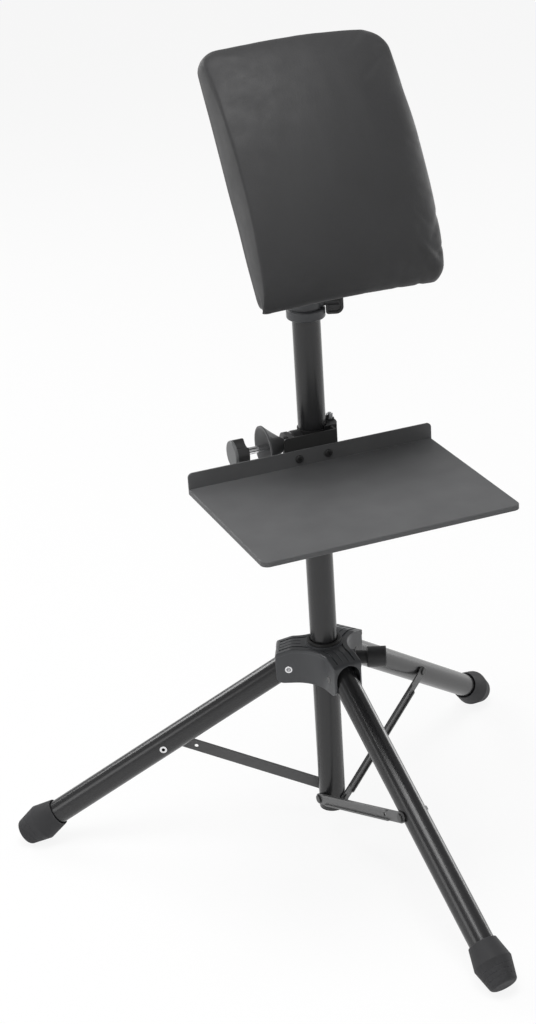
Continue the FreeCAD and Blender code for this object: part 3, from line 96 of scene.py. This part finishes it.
class Surface:
    """A material under construction: its node tree, its shader and the coordinates it uses."""

    def __init__(self, name, colour, roughness, metallic=0.0, specular=0.5):
        self.material = bpy.data.materials.new(name)
        self.material.use_nodes = True
        self.tree = self.material.node_tree
        self.shader = self.tree.nodes["Principled BSDF"]
        self.shader.inputs["Base Color"].default_value = (*colour, 1)
        self.shader.inputs["Roughness"].default_value = roughness
        self.shader.inputs["Metallic"].default_value = metallic
        self.shader.inputs["Specular IOR Level"].default_value = specular
        self.place = self.add("ShaderNodeTexCoord").outputs["Object"]
        self.height = None

    def add(self, kind, **values):
        """A new node, with its settings and the values or links of its inputs."""
        node = self.tree.nodes.new(kind)
        for key, value in values.items():
            if hasattr(node, key):
                setattr(node, key, value)
            else:
                self.put(node.inputs[key.replace("_", " ")], value)
        return node

    def put(self, socket, value):
        """Sets an input to a number or colour, or links it to an output."""
        if isinstance(value, bpy.types.NodeSocket):
            self.tree.links.new(value, socket)
        else:
            socket.default_value = value

    def math(self, operation, first, second, clamp=False):
        """One sum of two values or outputs."""
        node = self.add("ShaderNodeMath", operation=operation, use_clamp=clamp)
        self.put(node.inputs[0], first)
        self.put(node.inputs[1], second)
        return node.outputs[0]

    def stretched(self, x, y, z):
        """The coordinates scaled along each axis."""
        node = self.add("ShaderNodeMapping", Scale=(x, y, z))
        self.put(node.inputs["Vector"], self.place)
        return node.outputs[0]

    def noise(self, scale, detail=3.0, roughness=0.5, place=None):
        """A cloud pattern, about one bump per 1/scale metres."""
        node = self.add("ShaderNodeTexNoise", Scale=scale, Detail=detail, Roughness=roughness)
        self.put(node.inputs["Vector"], place or self.place)
        return node.outputs["Fac"]

    def cells(self, scale, feature="F1", place=None):
        """A pebbled pattern of cells."""
        node = self.add("ShaderNodeTexVoronoi", Scale=scale, feature=feature)
        self.put(node.inputs["Vector"], place or self.place)
        return node.outputs["Distance"]

    def remap(self, value, low, high, new_low, new_high):
        """A value moved from one range to another, held at its ends."""
        node = self.add("ShaderNodeMapRange")
        for key, number in zip(("Value", "From Min", "From Max", "To Min", "To Max"),
                               (value, low, high, new_low, new_high)):
            self.put(node.inputs[key], number)
        return node.outputs[0]

    def blend(self, factor, first, second):
        """Two colours mixed by a factor."""
        node = self.add("ShaderNodeMix", data_type="RGBA")
        self.put(node.inputs["Factor"], factor)
        colour_inputs = [socket for socket in node.inputs if socket.type == "RGBA"]
        for socket, value in zip(colour_inputs, (first, second)):
            self.put(socket, value if isinstance(value, bpy.types.NodeSocket) else (*value, 1))
        return [socket for socket in node.outputs if socket.type == "RGBA"][0]

    def colour(self, output):
        """Links the base colour."""
        self.put(self.shader.inputs["Base Color"], output)

    def roughen(self, output):
        """Links the roughness."""
        self.put(self.shader.inputs["Roughness"], output)

    def bump(self, height, strength, distance):
        """Adds relief on top of what is there."""
        node = self.add("ShaderNodeBump", Strength=strength, Distance=distance)
        self.put(node.inputs["Height"], height)
        if self.height is not None:
            self.put(node.inputs["Normal"], self.height)
        self.height = node.outputs["Normal"]
        self.put(self.shader.inputs["Normal"], self.height)

    def edges(self, radius):
        """Near 1 along sharp edges and 0 on flat ground."""
        rounded = self.add("ShaderNodeBevel", samples=6, Radius=radius)
        plain = self.add("ShaderNodeNewGeometry")
        dot = self.add("ShaderNodeVectorMath", operation="DOT_PRODUCT")
        self.put(dot.inputs[0], rounded.outputs[0])
        self.put(dot.inputs[1], plain.outputs["Normal"])
        return self.remap(dot.outputs["Value"], 0.99, 0.8, 0, 1)


def shade(colour, factor):
    """A colour made lighter or darker."""
    return tuple(min(1, channel * factor) for channel in colour)


def coated_steel(name, colour, roughness, peel, specular=0.5, edge_highlight=1.6, mottling=0.14):
    """Powder-coated steel: a fine orange-peel skin, slight mottling and a painted highlight along its
    sharp edges, its strength varying in patches.
    """
    s = Surface(name, colour, roughness, specular=specular)
    mottle = s.noise(35, 4)
    base = s.blend(mottle, shade(colour, 1 - mottling), shade(colour, 1 + mottling))
    # Painted highlight: sharp edges made lighter by a factor, stronger in some patches than others.
    edge = s.math("MULTIPLY", s.edges(0.0008), s.remap(s.noise(160, 5), 0.35, 0.7, 0.35, 1))
    s.colour(s.blend(edge, base, shade(colour, edge_highlight)))
    s.roughen(s.remap(s.noise(60, 5, 0.6), 0.3, 0.7, roughness - mottling / 10, roughness + mottling / 10))
    s.bump(s.noise(1100, 2), peel, 0.0001)
    return s.material


def moulded_plastic(name, colour, roughness, grain, specular=0.45, edge_highlight=1.7):
    """Moulded plastic: a fine sparked texture, flow mottling and a painted highlight along its sharp
    edges.
    """
    s = Surface(name, colour, roughness, specular=specular)
    flow = s.noise(22, 3)
    base = s.blend(flow, shade(colour, 0.88), shade(colour, 1.12))
    # Painted highlight: sharp edges made lighter.
    s.colour(s.blend(s.edges(0.0009), base, shade(colour, edge_highlight)))
    s.roughen(s.remap(s.noise(240, 3), 0.3, 0.7, roughness - 0.06, roughness + 0.06))
    s.bump(s.noise(2600, 2), grain, 0.00015)
    s.bump(s.noise(90, 2), grain / 3, 0.0004)
    return s.material


def rubber(name, colour):
    """Matte rubber with a dusty bloom, lighter along its sharp edges."""
    s = Surface(name, colour, 0.72, specular=0.35)
    bloom = s.remap(s.noise(48, 6, 0.65), 0.35, 0.75, 0, 1)
    base = s.blend(bloom, shade(colour, 0.8), shade(colour, 1.25))
    s.colour(s.blend(s.edges(0.0014), base, shade(colour, 1.8)))
    s.roughen(s.remap(bloom, 0, 1, 0.62, 0.82))
    s.bump(s.noise(1500, 3), 0.22, 0.0003)
    return s.material


def bright_metal(name, colour, roughness, scratch):
    """Plated steel: fine scratches, and a little tarnish in patches."""
    s = Surface(name, colour, roughness, metallic=1.0)
    tarnish = s.remap(s.noise(180, 4), 0.45, 0.75, 0, 1)
    s.colour(s.blend(tarnish, colour, shade(colour, 0.72)))
    s.roughen(s.remap(s.noise(420, 4), 0.3, 0.7, roughness - 0.05, roughness + 0.1))
    s.bump(s.noise(900, 3, place=s.stretched(1, 1, 12)), scratch, 0.0001)
    return s.material


def two_way_rivets(name, plated, painted_shade_colour):
    """Rivets plated at one end and dark at the other, a painted shade of their recesses, three of them
    evenly round the column.
    """
    s = Surface(name, plated, 0.16, metallic=1.0)
    parts = s.add("ShaderNodeSeparateXYZ")
    s.put(parts.inputs[0], s.place)
    across = s.math("SUBTRACT", parts.outputs["X"], column_axis.x)
    along = s.math("SUBTRACT", parts.outputs["Y"], column_axis.y)
    turn = s.math("SUBTRACT", s.math("ARCTAN2", along, across), rivet_ring_start)
    # Painted shade: where this sine is not above 0 the rivet is dark and not metallic.
    end = s.math("GREATER_THAN", s.math("SINE", s.math("MULTIPLY", turn, 3), 0), 0)
    s.colour(s.blend(end, painted_shade_colour, plated))
    s.put(s.shader.inputs["Metallic"], end)
    s.roughen(s.remap(s.noise(300, 3), 0.3, 0.7, 0.12, 0.24))
    return s.material


def knob_with_painted_lit_end(name, colour, painted_lit_end_colour):
    """Moulded plastic with painted highlights: its end face away from the column made paler, and its sharp
    edges lighter.
    """
    s = Surface(name, colour, 0.46, specular=0.45)
    parts = s.add("ShaderNodeSeparateXYZ")
    s.put(parts.inputs[0], s.place)
    end = s.math("LESS_THAN", parts.outputs["X"], column_axis.x - painted_lit_end_distance)
    # Painted highlight along the sharp edges.
    base = s.blend(s.edges(0.0009), s.blend(s.noise(22, 3), shade(colour, 0.88), shade(colour, 1.12)),
                   shade(colour, 2.2))
    # Painted highlight: the end face away from the column made paler.
    s.colour(s.blend(end, base, painted_lit_end_colour))
    s.bump(s.noise(2600, 2), 0.14, 0.00015)
    return s.material


def leatherette(name, colour):
    """Smooth black leatherette: shallow pebble grain, fine stretch wrinkles and soft mottling."""
    s = Surface(name, colour, 0.6, specular=0.32)
    s.shader.inputs["Sheen Weight"].default_value = 0.12
    s.shader.inputs["Sheen Roughness"].default_value = 0.35
    mottle = s.noise(14, 4, 0.55)
    s.colour(s.blend(mottle, shade(colour, 0.85), shade(colour, 1.18)))
    s.roughen(s.remap(s.noise(55, 5, 0.6), 0.3, 0.7, 0.54, 0.67))
    wrinkles = s.noise(26, 5, 0.6, place=s.stretched(2.6, 0.8, 0.8))
    s.bump(wrinkles, 0.16, 0.0014)
    s.bump(s.cells(900, "SMOOTH_F1"), 0.16, 0.00035)
    s.bump(s.noise(2400, 2), 0.08, 0.0001)
    return s.material


def plywood(name):
    """Raw plywood: long grain streaks with darker plies at the edge."""
    s = Surface(name, (0.5, 0.34, 0.19), 0.75)
    grain = s.noise(40, 6, 0.6, place=s.stretched(14, 1, 1))
    s.colour(s.blend(grain, (0.36, 0.22, 0.11), (0.62, 0.45, 0.27)))
    s.bump(grain, 0.2, 0.0004)
    return s.material


def felted_cloth(name, colour):
    """Thin non-woven cloth: matted fibres and a dimpled bond pattern."""
    s = Surface(name, colour, 0.9, specular=0.2)
    fibres = s.noise(900, 6, 0.7, place=s.stretched(1, 3, 1))
    s.colour(s.blend(fibres, shade(colour, 0.6), shade(colour, 1.8)))
    dimples = s.remap(s.cells(420), 0, 0.35, 0, 1)
    s.bump(dimples, 0.35, 0.0004)
    s.bump(fibres, 0.25, 0.0003)
    return s.material


# The rivets' ring starts at this angle about the column, and the knob's paler end, a painted highlight,
# begins this far from it
rivet_ring_start = radians(-85.1)
painted_lit_end_distance = 0.0905

tube_black = coated_steel("tube_black", (0.020, 0.020, 0.021), 0.24, 0.02, mottling=0.06)
post_black = coated_steel("post_black", (0.006, 0.006, 0.0065), 0.24, 0.02, specular=0.25, mottling=0.06)
brace_black = coated_steel("brace_black", (0.082, 0.082, 0.083), 0.36, 0.08, edge_highlight=2.0)
tray_grey = coated_steel("tray_grey", (0.100, 0.101, 0.103), 0.5, 0.12, specular=0.2, edge_highlight=2.0)
bracket_black = coated_steel("bracket_black", (0.016, 0.016, 0.016), 0.45, 0.12, edge_highlight=2.0)
hub_grey = moulded_plastic("hub_grey", (0.056, 0.058, 0.062), 0.40, 0.12, edge_highlight=2.4)
knob_black = moulded_plastic("knob_black", (0.028, 0.028, 0.029), 0.46, 0.14)
bell_grey = moulded_plastic("bell_grey", (0.080, 0.081, 0.083), 0.40, 0.14)
clamp_grey = moulded_plastic("clamp_grey", (0.022, 0.022, 0.023), 0.4, 0.12)
nylon_black = moulded_plastic("nylon_black", (0.018, 0.018, 0.018), 0.5, 0.06)
cap_rubber = rubber("cap_rubber", (0.034, 0.034, 0.036))
plated_chrome = bright_metal("plated_chrome", (0.78, 0.78, 0.79), 0.14, 0.05)
rivet_steel = two_way_rivets("rivet_steel", (0.78, 0.78, 0.79), (0.012, 0.012, 0.012))
rivet_black = coated_steel("rivet_black", (0.012, 0.012, 0.012), 0.3, 0.05)
star_knob_black = knob_with_painted_lit_end("star_knob_black", (0.028, 0.028, 0.029), (0.115, 0.118, 0.12))
plated_zinc = bright_metal("plated_zinc", (0.62, 0.63, 0.64), 0.3, 0.12)
turned_brass = bright_metal("turned_brass", (0.72, 0.52, 0.25), 0.3, 0.1)
pad_leatherette = leatherette("pad_leatherette", (0.03, 0.03, 0.031))
board_plywood = plywood("board_plywood")
back_felt = felted_cloth("back_felt", (0.015, 0.015, 0.015))

finishes = {
    tube_black: ["column_tube"] + [side + "_leg_tube" for side in sides],
    post_black: ["inner_post"],
    brace_black: [side + "_brace" for side in sides],
    tray_grey: ["tray_plate"],
    bracket_black: ["tilt_bracket", "tray_clamp_plate", "tray_screws"],
    hub_grey: ["hub_spider", "column_collar", "tilt_head"],
    knob_black: ["hub_lock_knob", "post_lock_wing", "tilt_knob"],
    bell_grey: ["clamp_bell"],
    star_knob_black: ["clamp_star_knob"],
    clamp_grey: ["tray_clamp_body", "fixed_jaw", "clamp_pressure_pad"],
    nylon_black: ["hub_bushing", "post_guide", "clamp_liner", "column_bottom_plug"]
                 + [side + "_leg_pivot_plug" for side in sides],
    cap_rubber: ["jaw_washer"] + [side + "_foot_cap" for side in sides],
    rivet_steel: ["hub_pivot_rivets"],
    rivet_black: ["brace_column_rivets"] + [side + "_brace_rivet" for side in sides],
    plated_chrome: ["clamp_bolt"] + [side + "_brace_sleeve" for side in sides],
    plated_zinc: ["hub_lock_screw", "post_lock_screw", "head_set_screw", "tilt_bolt", "tilt_washer",
                  "pad_tee_nuts", "pad_screws", "jaw_pin", "jaw_nut"],
    turned_brass: ["hub_lock_insert", "post_lock_insert", "tilt_insert", "clamp_insert"],
    board_plywood: ["pad_board"],
    back_felt: ["pad_back_cover"],
}
for material, names in finishes.items():
    for name in names:
        for material_slot in nodes[name].material_slots:
            material_slot.material = material


# The pad, in its own flat frame: across, along and out from its back
pad_tilt = radians(58.4)
pad_width = 0.199
pad_top_reach = 0.131
pad_bottom_reach = 0.135
pad_edge_height = 0.050
pad_top_fall = 0.028
pad_bottom_fall = 0.026
pad_crown_across = 0.016
pad_corner_rounds = {(-1, 1): 0.018, (1, 1): 0.026, (-1, -1): 0.008, (1, -1): 0.016}
pad_side_round = 0.003
pad_right_round = 0.020
pad_soft_side_round = 0.010
pad_top_round = 0.012
pad_bottom_round = 0.021
pad_back_round = 0.0028
pad_draw_in = 0.0006
pad_bottom_draw_in = 0.008
pad_back_distance = 0.050
pad_side_shift = 0.0045
pad_wrap_depth = 0.0002
pad_wrap_width = 0.018
pad_swell_room = 0.0025
pad_swell_cap = 0.006
swell_pressure = 45.0
swell_stiffness = 12.0
swell_bending = 0.4
swell_frames = 14
pad_origin = Vector(joints["pad_tilt"]["pos_m"])
pad_to_stand = (Matrix.Translation(pad_origin) @ Matrix.Rotation(pad_tilt, 4, "X")
                @ Matrix.Translation((pad_side_shift, 0, pad_back_distance)))


def mesh_object(name, points, faces, material):
    """A mesh object with smooth faces and one material."""
    mesh = bpy.data.meshes.new(name)
    mesh.from_pydata(points, [], faces)
    mesh.materials.append(material)
    mesh.polygons.foreach_set("use_smooth", [True] * len(mesh.polygons))
    piece = bpy.data.objects.new(name, mesh)
    bpy.context.scene.collection.objects.link(piece)
    return piece


def rounding_drop(radius, inset):
    """How far a rounded edge has fallen away this far inside its rim."""
    gap = max(0, radius - inset)
    return radius - sqrt(radius ** 2 - gap ** 2)


def grid_lines(low, high, low_round, high_round):
    """Places across the pad: close together round both edges, 4 mm apart between them."""
    angles = (0, 22, 44, 66, 90)
    first = [low + low_round * (1 - cos(radians(angle))) for angle in angles]
    last = [high - high_round * (1 - cos(radians(angle))) for angle in reversed(angles)]
    steps = round((last[0] - first[-1]) / 0.004)
    return first + [first[-1] + (last[0] - first[-1]) * i / steps for i in range(1, steps)] + last


def insets(x, y):
    """How far a place lies inside the pad's near side edge and near end."""
    return pad_width / 2 - abs(x), (pad_top_reach - y if y > 0 else pad_bottom_reach + y)


def corner_overlap(x, y):
    """The outline's corner radius in this quarter, and how far the place is past its centre each way."""
    corner = pad_corner_rounds[(1 if x > 0 else -1, 1 if y > 0 else -1)]
    inset_x, inset_y = insets(x, y)
    return corner, 1 - inset_x / corner, 1 - inset_y / corner


def to_outline(x, y):
    """A point of the pad's plain rectangle, moved in where its corners are round."""
    corner, over_x, over_y = corner_overlap(x, y)
    if over_x <= 0 or over_y <= 0:
        return x, y
    inset_x, inset_y = insets(x, y)
    move_x = corner - corner * over_x * sqrt(1 - over_y ** 2 / 2) - inset_x
    move_y = corner - corner * over_y * sqrt(1 - over_x ** 2 / 2) - inset_y
    return (x - move_x if x > 0 else x + move_x), (y - move_y if y > 0 else y + move_y)


def face_height(x, y):
    """The height of the pad's crowned face above its back, before it swells."""
    inset_x, inset_y = insets(x, y)
    if y > 0:
        height = pad_edge_height - pad_top_fall * (y / pad_top_reach) ** 1.9
    else:
        height = pad_edge_height - pad_bottom_fall * (-y / pad_bottom_reach) ** 2.6
    height += pad_crown_across * (1 - (2 * x / pad_width) ** 2)
    height -= pad_swell_room * min(1, inset_x / 0.02, inset_y / 0.02)
    softness = max(0, min(1, (y - pad_top_reach * 0.44) / (pad_top_reach * 0.4)))
    side_round = pad_right_round if x > 0 else pad_side_round
    side_round += (pad_soft_side_round - side_round) * softness
    side_drop = rounding_drop(side_round, inset_x)
    end_drop = rounding_drop(pad_top_round if y > 0 else pad_bottom_round, inset_y)
    return max(height - sqrt(side_drop ** 2 + end_drop ** 2), pad_back_round + 0.0005)


def cushion_cage():
    """The cushion's points and faces, and which points the frame and the foam's edges hold."""
    across = grid_lines(-pad_width / 2, pad_width / 2, pad_side_round, pad_right_round)
    along = grid_lines(-pad_bottom_reach, pad_top_reach, pad_bottom_round, pad_top_round)
    points, faces, held = [], [], []
    for y in along:
        for x in across:
            points.append(Vector((*to_outline(x, y), face_height(x, y))))
            held.append(min(insets(x, y)) < pad_side_round * 1.01)
    wide, tall = len(across), len(along)
    for j in range(tall - 1):
        for i in range(wide - 1):
            start = j * wide + i
            faces.append((start, start + 1, start + wide + 1, start + wide))
    rim = list(range(wide)) + [j * wide + wide - 1 for j in range(1, tall)]
    rim += [(tall - 1) * wide + i for i in range(wide - 2, -1, -1)]
    rim += [j * wide for j in range(tall - 2, 0, -1)]
    upper = rim
    plan = [tuple(points[i]) for i in rim]
    for step in range(1, 8):
        share = 1 - step / 8
        upper = add_ring(points, faces, upper, plan, share, pad_back_round, (1 - share) ** 2, 0)
        held += [share < 0.2] * len(rim)
    for angle in (0, 30, 60, 90):
        inset = pad_back_round * (1 - cos(radians(angle)))
        rise = pad_back_round * (1 - sin(radians(angle))) - pad_wrap_depth
        upper = add_ring(points, faces, upper, plan, 0, rise, 1, inset)
        held += [True] * len(rim)
    upper = add_ring(points, faces, upper, plan, 0, -pad_wrap_depth, 1, pad_wrap_width)
    held += [True] * len(rim)
    faces.append(tuple(reversed(upper)))
    return points, faces, held


def rim_normal(x, y):
    """The outward level direction of the pad's outline at a point on it."""
    _, over_x, over_y = corner_overlap(x, y)
    if over_x > 0 and over_y > 0:
        reach = sqrt(over_x ** 2 + over_y ** 2)
        out = (over_x / reach, over_y / reach)
    else:
        out = (1, 0) if insets(x, y)[0] < insets(x, y)[1] else (0, 1)
    return (out[0] if x > 0 else -out[0]), (out[1] if y > 0 else -out[1])


def add_ring(points, faces, upper, plan, share, rise, drawn, inset):
    """One more ring of points: its share of the rim's height, its rise, and how far it is drawn in."""
    lower = list(range(len(points), len(points) + len(plan)))
    for x, y, z in plan:
        out_x, out_y = rim_normal(x, y)
        draw = pad_draw_in + (pad_bottom_draw_in - pad_draw_in) * max(0, -out_y)
        move = draw * drawn + inset
        points.append(Vector((x - out_x * move, y - out_y * move, (z - pad_back_round) * share + rise)))
    for i in range(len(plan)):
        j = (i + 1) % len(plan)
        faces.append((lower[i], lower[j], upper[j], upper[i]))
    return lower


def swell(piece, held):
    """Blows the cover up where the foam presses on it, by a cloth simulation with a cap on its travel."""
    group = piece.vertex_groups.new(name="held")
    group.add([i for i, fixed in enumerate(held) if fixed], 1.0, "ADD")
    cover = piece.modifiers.new("cover", "CLOTH")
    cover.settings.vertex_group_mass = "held"
    cover.settings.use_pressure = True
    cover.settings.uniform_pressure_force = swell_pressure
    cover.settings.tension_stiffness = swell_stiffness
    cover.settings.compression_stiffness = swell_stiffness
    cover.settings.bending_stiffness = swell_bending
    cover.settings.effector_weights.gravity = 0.0
    cover.point_cache.frame_start = 1
    cover.point_cache.frame_end = swell_frames
    scene = bpy.context.scene
    for moment in range(1, swell_frames + 1):
        scene.frame_set(moment)
    shaped = piece.evaluated_get(bpy.context.evaluated_depsgraph_get())
    swollen = [vertex.co.copy() for vertex in shaped.data.vertices]
    piece.modifiers.remove(cover)
    scene.frame_set(1)
    for vertex, place in zip(piece.data.vertices, swollen):
        travel = place - vertex.co
        if travel.length > pad_swell_cap:
            travel *= pad_swell_cap / travel.length
        vertex.co += travel


def crease(place, start, end, width, depth):
    """The depth at a place of a crease from start to end that fades out towards both ends."""
    line = end - start
    share = max(0, min(1, (place - start).dot(line) / line.length_squared))
    gap = (place - start - line * share).length
    return depth * exp(-(gap / width) ** 2) * sin(pi * min(1, share + 0.15)) ** 0.5


def crease_cushion(piece):
    """Pulls and creases of the stretched cover, which come after the simulation."""
    half_x, half_y = pad_width / 2, pad_bottom_reach
    creases = [
        (Vector((half_x, -half_y + 0.066, 0.030)),
         Vector((half_x - 0.022, -half_y + 0.030, 0.040)), 0.0030, 0.0016),
        (Vector((half_x, -half_y + 0.034, 0.022)),
         Vector((half_x - 0.016, -half_y + 0.016, 0.032)), 0.0025, 0.0012),
        (Vector((half_x - 0.030, -half_y, 0.008)),
         Vector((half_x - 0.036, -half_y + 0.004, 0.022)), 0.0025, 0.0012),
        (Vector((half_x - 0.052, -half_y, 0.006)),
         Vector((half_x - 0.060, -half_y + 0.004, 0.020)), 0.0028, 0.0010),
        (Vector((0.010, -half_y, 0.006)), Vector((0.004, -half_y + 0.003, 0.018)), 0.0030, 0.0008),
        (Vector((-half_x, -half_y + 0.012, 0.012)),
         Vector((-half_x + 0.030, -half_y + 0.001, 0.012)), 0.0022, 0.0012),
    ]
    piece.data.calc_loop_triangles()
    normals = [vertex.normal.copy() for vertex in piece.data.vertices]
    for vertex, normal in zip(piece.data.vertices, normals):
        if vertex.co.z < 0.0008:
            continue
        sink = sum(crease(vertex.co, *shape) for shape in creases)
        waves = noise.noise(Vector((vertex.co.x * 70, vertex.co.y * 16, vertex.co.z * 70)))
        soft = noise.noise(Vector((vertex.co.x * 24, vertex.co.y * 18, vertex.co.z * 24 + 5)))
        vertex.co += normal * (waves * 0.00022 + soft * 0.0006 - sink)


def make_cushion():
    """The upholstered pad: swollen between its edges, then creased."""
    points, faces, held = cushion_cage()
    piece = mesh_object("arm_pad_cushion", points, faces, pad_leatherette)
    swell(piece, held)
    smooth = piece.modifiers.new("finer", "SUBSURF")
    smooth.levels = 1
    smooth.render_levels = 1
    shaped = piece.evaluated_get(bpy.context.evaluated_depsgraph_get())
    finer = bpy.data.meshes.new_from_object(shaped)
    piece.modifiers.clear()
    piece.data = finer
    crease_cushion(piece)
    piece.matrix_world = pad_to_stand
    return piece


cushion = make_cushion()
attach(cushion, "pad")
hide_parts("pad_cushion")


# Floor, world and lamps
floor_radius = 14.0
floor_seen_share = 0.88
horizon_glow = 0.95
sky_glow = 0.34
glow_top = 0.30


def seen_or_mirrored(tree):
    """1 for rays from the camera and rays that a mirror or glass sends on, and 0 for the rest."""
    path = tree.nodes.new("ShaderNodeLightPath")
    value = path.outputs["Is Camera Ray"]
    for name in ("Is Glossy Ray", "Is Transmission Ray"):
        either = tree.nodes.new("ShaderNodeMath")
        either.operation = "MAXIMUM"
        tree.links.new(value, either.inputs[0])
        tree.links.new(path.outputs[name], either.inputs[1])
        value = either.outputs[0]
    return value


def make_floor():
    """A plain floor that looks white and still keeps the stand's soft shadow."""
    mesh = bpy.data.meshes.new("studio_floor")
    rim = 96
    points = [(floor_radius * cos(2 * pi * i / rim), floor_radius * sin(2 * pi * i / rim), 0)
              for i in range(rim)]
    mesh.from_pydata(points, [], [list(range(rim))])
    floor = bpy.data.objects.new("studio_floor", mesh)
    s = Surface("studio_floor", (0.93, 0.93, 0.93), 0.9, specular=0.1)
    s.colour(s.blend(s.noise(3), (0.92, 0.92, 0.92), (0.94, 0.94, 0.94)))
    glow = s.add("ShaderNodeEmission", Strength=1.0)
    mix = s.add("ShaderNodeMixShader")
    s.put(mix.inputs[0], s.math("MULTIPLY", seen_or_mirrored(s.tree), floor_seen_share))
    s.put(mix.inputs[1], s.shader.outputs[0])
    s.put(mix.inputs[2], glow.outputs[0])
    s.put(s.tree.nodes["Material Output"].inputs["Surface"], mix.outputs[0])
    mesh.materials.append(s.material)
    bpy.context.scene.collection.objects.link(floor)


def make_world():
    """A pale studio, brightest along its horizon and dimmer overhead."""
    world = bpy.data.worlds.new("studio_world")
    world.use_nodes = True
    tree = world.node_tree
    background = tree.nodes["Background"]
    background.inputs["Color"].default_value = (1, 1, 1, 1)
    direction = tree.nodes.new("ShaderNodeTexCoord")
    parts = tree.nodes.new("ShaderNodeSeparateXYZ")
    tree.links.new(direction.outputs["Generated"], parts.inputs[0])
    level = tree.nodes.new("ShaderNodeMapRange")
    level.interpolation_type = "SMOOTHSTEP"
    level.inputs["From Max"].default_value = glow_top
    level.inputs["To Min"].default_value = horizon_glow
    level.inputs["To Max"].default_value = sky_glow
    tree.links.new(parts.outputs["Z"], level.inputs["Value"])
    tree.links.new(level.outputs[0], background.inputs["Strength"])
    bpy.context.scene.world = world


def make_lamp(name, heading, elevation, distance, width, height, power):
    """A soft box at a compass heading and a height angle from the stand's middle, aimed at it."""
    data = bpy.data.lights.new(name, "AREA")
    data.shape = "RECTANGLE"
    data.size = width
    data.size_y = height
    data.energy = power
    lamp = bpy.data.objects.new(name, data)
    turn, rise = radians(heading), radians(elevation)
    away = Vector((sin(turn) * cos(rise), cos(turn) * cos(rise), sin(rise)))
    middle = Vector((column_axis.x, column_axis.y, stand_middle_height))
    aim = away.to_track_quat("Z", "Y").to_matrix().to_4x4()
    lamp.matrix_world = Matrix.Translation(middle + away * distance) @ aim
    lamp.visible_camera = False
    bpy.context.scene.collection.objects.link(lamp)


stand_middle_height = 0.45
make_floor()
make_world()
make_lamp("key_lamp", -135, 64, 2.3, 1.3, 0.9, 20)
make_lamp("back_lamp", -24, 24, 3.0, 1.6, 0.7, 26)
make_lamp("top_lamp", 200, 82, 2.6, 0.9, 0.9, 28)
make_lamp("side_lamp", 68, 2, 3.0, 1.0, 1.0, 15)
make_lamp("left_lamp", -95, 12, 3.0, 1.0, 1.2, 9)

bpy.context.scene.view_settings.view_transform = "Standard"
